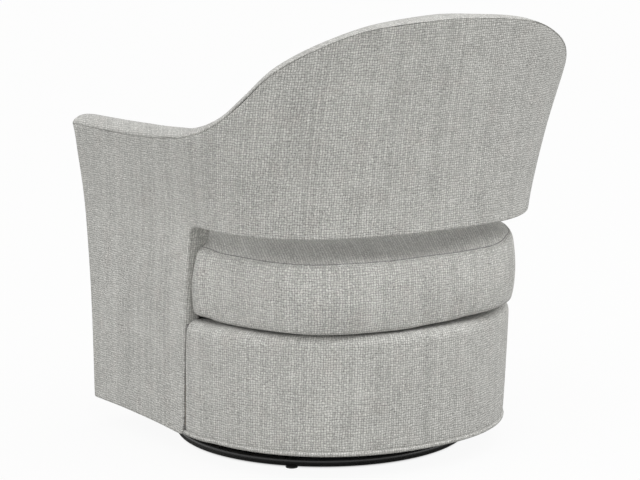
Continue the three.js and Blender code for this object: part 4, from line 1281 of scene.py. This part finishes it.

# %% [markdown]
# ## The cover of the seat box
# Below the opening a second length of cloth goes round the rear of the seat box, from arm to arm. It lies
# on a thin pad, so that it rolls softly over the top edge and on under the cushion. A fat piping closes its
# lower edge, and a thin one covers the seam where it meets each arm. Behind that one runs a dark tube,
# painted shade for the gap in the seam, which also keeps the wood from showing. The whole lower edge hangs a
# little, most beside the arms.

# %% Rear of the seat box
BASE_ROUND = 18.0
BASE_PIPING = 4.5
BASE_LOW = UNDERSIDE + 2 * BASE_PIPING - 1.5
BASE_HANG = (7.5, 4.8)
SIDE_GAP = 3.5 / 290
SIDE_TUCKS = {0: 7.0, 1: 3.2, 2: 0.8}
STRAIGHT_IN = Vector((-1, 0))


def box_rows(foot, above_foot, count):
    """Section of the seat box as (depth, height): tucked in at its foot, upright, rolled over at its top"""
    rows = [(foot, BASE_LOW), (above_foot, BASE_LOW + 1.5)]
    rows += [(0, z) for z in np.linspace(BASE_LOW + 5, DECK - BASE_ROUND, count)]
    for angle in np.linspace(0, math.pi / 2, 7)[1:]:
        rows.append((BASE_ROUND * (1 - math.cos(angle)), DECK - BASE_ROUND * (1 - math.sin(angle))))
    return rows


def box_swell(z, amount):
    """How far the pad stands out, most half way up the box"""
    return amount * math.sin(math.pi * held_in((z - BASE_LOW) / (DECK - BASE_LOW)))


def make_base_cover():
    cover = Sheet()
    half = [1 + SIDE_GAP * share for share in (0.15, 0.5, 1)]
    half += [float(c) for c in np.linspace(1 + SIDE_GAP, 2, 40)[1:]]
    columns = half + [4 - c for c in reversed(half[:-1])]
    rows = box_rows(2.5, 0.6, 22)
    rows += [(depth, DECK - (depth - BASE_ROUND) * 0.02) for depth in (22, 34, 48, 64)]
    points, threads = [], []
    for i, column in enumerate(columns):
        edge = min(i, len(columns) - 1 - i)
        column_points, column_threads, v = [], [], 0.0
        own = mirrored(column)
        for depth, z in rows:
            swell = box_swell(z, 1.6) if depth < 1 else 0
            plan = outer(own, z)
            inward = (Vector((0, jamb_line(z))) - plan).normalized() if own > 1.06 else STRAIGHT_IN
            share = held_in((own - 1) / 0.12)
            inward = (STRAIGHT_IN * (1 - share) + inward * share).normalized()
            spot_in = plan + inward * (depth - swell + SIDE_TUCKS.get(edge, 0))
            point = Vector((-spot_in.x if column > 2 else spot_in.x, spot_in.y, z))
            if column_points:
                v += (point - column_points[-1]).length
            column_points.append(point)
            column_threads.append((girth(column, min(z, DECK)), v))
        points.append(column_points)
        threads.append(column_threads)
    cover.patch(points, threads)
    piece = cover.done("seat_base_cloth")
    ease(piece, 0.10, 0.0009, 5.2)
    let_hang(piece, *BASE_HANG)
    return piece


seat_base_cloth = finer(make_base_cover())
place(seat_base_cloth, tweed, "chair", "woven_cloth", "seat_base_cover")
print("seat box covered")

# %% Its piping
PIPING_DEPTH = BASE_PIPING - 2.0
base_line = [wall(float(column), PIPING_DEPTH, UNDERSIDE + BASE_PIPING)
             for column in np.linspace(1.004, 2.996, 121)]
base_piping = tube("seat_base_piping", base_line, BASE_PIPING)
let_hang(base_piping, *BASE_HANG)
place(base_piping, tweed, "chair", "woven_cloth", "seat_base_welt")


def side_seam(name, column, depth, radius, finish):
    """An upright tube where arm and seat box meet"""
    line = [wall(column, depth, float(z)) for z in np.linspace(UNDERSIDE + 10, DECK - 8, 26)]
    piece = tube(name, line, radius, upright=Vector((1, 0, 0)))
    let_hang(piece, *BASE_HANG)
    place(piece, finish, "chair", "woven_cloth")


for side, front, rear in (("left", 0.999, 1.008), ("right", 3.001, 2.992)):
    side_seam(f"seat_side_piping_{side}", front, 1.4, 2.8, tweed)
    # Behind the piping, a dark tube as painted shade for the gap in the seam; it also hides the wood
    side_seam(f"seat_side_seam_shade_{side}", rear, 6.5, 4.5, seam_thread)
print("seat box piped")

# %% [markdown]
# ## The front of the seat box and the deck
# In front, a panel of the same cloth closes the box between the arms, with the same roll at its top and the
# same piping below. The cushion lies on the deck, a pad that is pulled tight and sewn round its edge.

# %% Front panel
PANEL_HALF = INNER_HALF - 1.2
PANEL_END = 12
panel_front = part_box("seat_front_cover")[0].y / MM - ROW_SHIFT


def lay(name, firsts, seconds, point_at, thread_at):
    """A sheet over a grid of places, each with its point and that point's threads"""
    columns = [[point_at(first, second) for second in seconds] for first in firsts]
    sheet = Sheet()
    sheet.patch(columns, [[thread_at(point) for point in column] for column in columns])
    return sheet.done(name)


def panel_point(x, row):
    depth, z = row
    drawn_in = (1 - min(PANEL_HALF - abs(x), PANEL_END) / PANEL_END) ** 2
    return Vector((float(x), panel_front + depth - box_swell(z, 2.6) * (1 - drawn_in) + 3 * drawn_in, z))


panel_rows = box_rows(3.0, 0.8, 18) + [(40, DECK - 0.4)]
front_panel = finer(lay("seat_front_cloth", np.linspace(-PANEL_HALF, PANEL_HALF, 41), panel_rows, panel_point,
                        lambda p: (p.x, p.z + (p.y - panel_front))))
ease(front_panel, 0.10, 0.0008, 9.0)
place(front_panel, tweed, "chair", "woven_cloth", "seat_front_cover")
front_line_points = [(float(x), panel_front + PIPING_DEPTH, UNDERSIDE + BASE_PIPING)
                     for x in np.linspace(-PANEL_HALF + 1, PANEL_HALF - 1, 41)]
front_piping = tube("seat_front_piping", front_line_points, BASE_PIPING)
place(front_piping, tweed, "chair", "woven_cloth")
print("front panel at", round(panel_front, 1), "mm")

# %% The deck under the cushion
DECK_EDGE = 0.06
DECK_ROUNDNESS = 2.3


def deck_point(share, y):
    behind = max(y - 60, 0) / (352 - 60)
    half = (INNER_HALF - 3) * (1 - behind ** DECK_ROUNDNESS) ** (1 / DECK_ROUNDNESS)
    edge = min(1 - abs(share), DECK_EDGE) / DECK_EDGE
    z = DECK - 1.2 - 4 * (1 - edge) ** 2
    z -= 0.6 * (1 + noise.noise(Vector((share * 4, y / 60, 2.0))))
    return Vector((float(-share) * half, float(y), z))


deck_depth = np.linspace(panel_front + 26, 318, 41)
deck_cloth = finer(lay("seat_deck", np.linspace(-1, 1, 41), deck_depth, deck_point, lambda p: (-p.x, p.y)))
place(deck_cloth, tweed, "chair", "padding", "deck_pad")
print("deck laid")

# %% Dust cloths under the seat
REAR_MARGIN = 8
DUST_ROUNDNESS = 2.2


def dust_cloth(name, node, half_at, margin):
    """Thin cloth stapled under a board, with a little sag; half_at gives its half width at a place"""
    lo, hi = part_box(node)
    first, last = lo.y / MM - ROW_SHIFT, hi.y / MM - ROW_SHIFT - margin

    def point_at(share, y):
        t = (y - first) / (last - first)
        sag = 5 * (1 - share ** 4) * math.sin(math.pi * t) ** 0.7
        wave = 0.8 * noise.noise(Vector((share * 6, y / 25, 4.0)))
        return Vector((float(share) * half_at(y), float(y), lo.z / MM - sag - wave))

    piece = lay(name, np.linspace(-1, 1, 33), np.linspace(first, last, 17), point_at, lambda p: (p.x, p.y))
    place(piece, finishes["dust_cloth"], "chair", "dust_cloth", node)


def front_half(y):
    """The front board is straight, so its cloth is as wide everywhere"""
    return 310


def rear_half(y):
    """The rear board is round behind"""
    behind = max(y - 25, 0) / (349 - 25 - REAR_MARGIN)
    return 300 * max(1 - behind ** DUST_ROUNDNESS, 0.02) ** (1 / DUST_ROUNDNESS)


dust_cloth("dust_cloth_front", "dust_cover_front", front_half, 0)
dust_cloth("dust_cloth_rear", "dust_cover_rear", rear_half, REAR_MARGIN)

# %% [markdown]
# ## The base ring and the springs
# The ring is bent from round tube, so it is a torus, here with enough steps to reflect a clean line of
# light. The four springs stand between the turning plate and the rocking one; each is wound again as a
# smooth tube in place of its solid. The hard solids get a narrow bevel on their edges, because no real edge
# is sharp, and a bevel is what catches the light.

# %% The ring
RING_RADIUS = 271.5
RING_TUBE = 9.5
RING_CENTRE = 12.0
ring_line = [(RING_RADIUS * math.cos(t), RING_RADIUS * math.sin(t), RING_CENTRE)
             for t in np.linspace(0, 2 * math.pi, 192, endpoint=False)]
ring = tube("base_ring_tube", ring_line, RING_TUBE, loop=True, sides=28)
place(ring, finishes["black_paint"], "base", "black_paint", "base_ring")
print("ring bent,", 2 * (RING_RADIUS + RING_TUBE), "mm across")

# %% The springs
SPRING_WIRE = 4.6
SPRING_TURNS = 5
CLOSED_ENDS = 0.045
for number in range(1, 5):
    lo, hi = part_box(f"rock_spring_{number}")
    centre = (lo + hi) / 2 / MM
    coil = (hi.x - lo.x) / 2 / MM - SPRING_WIRE / 2
    low, high = lo.z / MM + SPRING_WIRE / 2, hi.z / MM - SPRING_WIRE / 2
    line = []
    for t in np.linspace(0, 1, 181):
        angle = 2 * math.pi * SPRING_TURNS * t
        rise = t - CLOSED_ENDS * math.sin(2 * math.pi * t)
        line.append((centre.x + coil * math.cos(angle), centre.y - ROW_SHIFT + coil * math.sin(angle),
                     low + (high - low) * rise))
    spring = tube(f"coil_spring_{number}", line, SPRING_WIRE / 2, sides=12)
    spring.data.materials.append(finishes["spring_steel"])
    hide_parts(f"rock_spring_{number}")
    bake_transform(spring)
print("springs wound:", SPRING_TURNS, "turns each")

# %% Soft edges on the hard parts
EDGE_BEVEL = 0.6 * MM
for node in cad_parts.values():
    if node.hide_render:
        continue
    soft_edge = node.modifiers.new("Soft edges", "BEVEL")
    soft_edge.width = EDGE_BEVEL
    soft_edge.segments = 2
    soft_edge.limit_method = "ANGLE"
    soft_edge.angle_limit = math.radians(40)
print("edges softened by", EDGE_BEVEL / MM, "mm")

# %% [markdown]
# ## Floor, light and camera
# The chair stands on a white floor in soft light, as in a shop's own picture. The background is white only
# to the camera and to mirrors, so that it adds no light. The floor glows for the camera in the same way,
# except inside the ring, where it is left grey so that the gap above the ring stays dark. A plain dome of
# light would make every side alike. So the air is a little brighter on some sides, as if soft walls stood
# there, and darker in front of the chair. Two large lamps add the rest. The camera looks from behind, to the
# sitter's left, a little down, through a long lens.

# %% Floor
FLOOR_HALF = 12.0
GLOW_FROM, GLOW_FULL = 0.255, 0.275
GLOW_SHARE = 0.88
GLOW_STRENGTH = 1.06
floor_data = bpy.data.meshes.new("studio_floor")
floor_corners = [(x * FLOOR_HALF, y * FLOOR_HALF, 0) for x, y in ((-1, -1), (1, -1), (1, 1), (-1, 1))]
floor_data.from_pydata(floor_corners, [], [(0, 1, 2, 3)])
floor = bpy.data.objects.new("studio_floor", floor_data)
scene.collection.objects.link(floor)
paper = Finish("white_floor", Roughness=0.9, Base_Color=(0.38, 0.38, 0.37, 1), Specular_IOR_Level=0.1)
seen = paper.node("ShaderNodeLightPath", None, None, "Is Camera Ray")
glow = paper.node("ShaderNodeEmission", None, {"Color": (1, 1, 1, 1), "Strength": GLOW_STRENGTH})
matt = Wire(paper, paper.shader.outputs["BSDF"])
from_ring = {"Vector": own_place(paper), "Vector_001": spot(0, 0, 0)}
distance = paper.node("ShaderNodeVectorMath", {"operation": "DISTANCE"}, from_ring, "Value")
outside = paper.stops(distance, (GLOW_FROM, 0), (GLOW_FULL, 1))
share_white = {"Fac": seen * outside * GLOW_SHARE, "Shader": matt, "Shader_001": glow}
sheet_white = paper.node("ShaderNodeMixShader", None, share_white)
paper.links.new(sheet_white.socket, paper.nodes["Material Output"].inputs["Surface"])
floor.data.materials.append(paper.material)
print("floor laid, dark within", GLOW_FROM, "m of the ring's middle")

# %% Light
AMBIENT = 0.635
SOFT_WALLS = {(1, 0, 0): 1.36, (-1, 0.3, 0.2): 0.64, (0, 1, 0): 0.27, (0, -1, 0): -0.54, (0, 0, 1): 0.27}
SEEN_WHITE = 1.0
LAMP_SIZE = 2.2
world = bpy.data.worlds.new("studio")
scene.world = world
world.use_nodes = True
air = world.node_tree
background = air.nodes["Background"]
background.inputs["Color"].default_value = (1.0, 1.0, 1.0, 1)


def air_node(kind, operation, *values):
    """A node of the world with its first inputs set, to a number, a vector or another node's result"""
    node = air.nodes.new(kind)
    node.operation = operation
    for slot, value in zip(node.inputs, values):
        if isinstance(value, bpy.types.NodeSocket):
            air.links.new(value, slot)
        else:
            slot.default_value = value
    return node.outputs["Value"]


path = air.nodes.new("ShaderNodeLightPath")
look = air.nodes.new("ShaderNodeTexCoord").outputs["Generated"]
strength = AMBIENT
for wall_side, amount in SOFT_WALLS.items():
    toward = air_node("ShaderNodeVectorMath", "DOT_PRODUCT", look, wall_side)
    toward = air_node("ShaderNodeMath", "MAXIMUM", toward, 0.0)
    lit = air_node("ShaderNodeMath", "MULTIPLY", toward, toward)
    strength = air_node("ShaderNodeMath", "MULTIPLY_ADD", lit, amount, strength)
white_rays = [path.outputs[kind] for kind in ("Is Camera Ray", "Is Glossy Ray")]
seen_direct = air_node("ShaderNodeMath", "MAXIMUM", *white_rays)
level = air.nodes.new("ShaderNodeMix")
level.inputs["B"].default_value = SEEN_WHITE
air.links.new(seen_direct, level.inputs["Factor"])
air.links.new(strength, level.inputs["A"])
air.links.new(level.outputs[0], background.inputs["Strength"])


def soft_box(name, place_at, aim, power):
    """A large square lamp that looks at a point"""
    lamp = bpy.data.lights.new(name, "AREA")
    lamp.shape = "SQUARE"
    lamp.size = LAMP_SIZE
    lamp.energy = power
    holder = bpy.data.objects.new(name, lamp)
    holder.location = place_at
    holder.rotation_euler = (Vector(aim) - Vector(place_at)).to_track_quat("-Z", "Y").to_euler()
    scene.collection.objects.link(holder)


soft_box("overhead", (0.2, 1.6, 3.2), (0, 0.1, 0.5), 18)
soft_box("behind_right", (-3.0, 2.8, 1.9), (0, 0, 0.4), 19)
print("lights set")

# %% Camera
TARGET = Vector((0, -0.0655, 0.3682))
AWAY = Vector((0.5379, 0.8227, 0.1838)).normalized()
CAMERA_DISTANCE = 4.3743
lens = bpy.data.cameras.new("studio_camera")
lens.lens = 129.375
lens.sensor_width = 36
lens.sensor_fit = "HORIZONTAL"
camera = bpy.data.objects.new("studio_camera", lens)
camera.location = TARGET + AWAY * CAMERA_DISTANCE
camera.rotation_euler = (-AWAY).to_track_quat("-Z", "Y").to_euler()
scene.collection.objects.link(camera)
scene.camera = camera
scene.view_settings.view_transform = "Standard"
print("camera", CAMERA_DISTANCE, "m away, lens", round(lens.lens, 1), "mm")
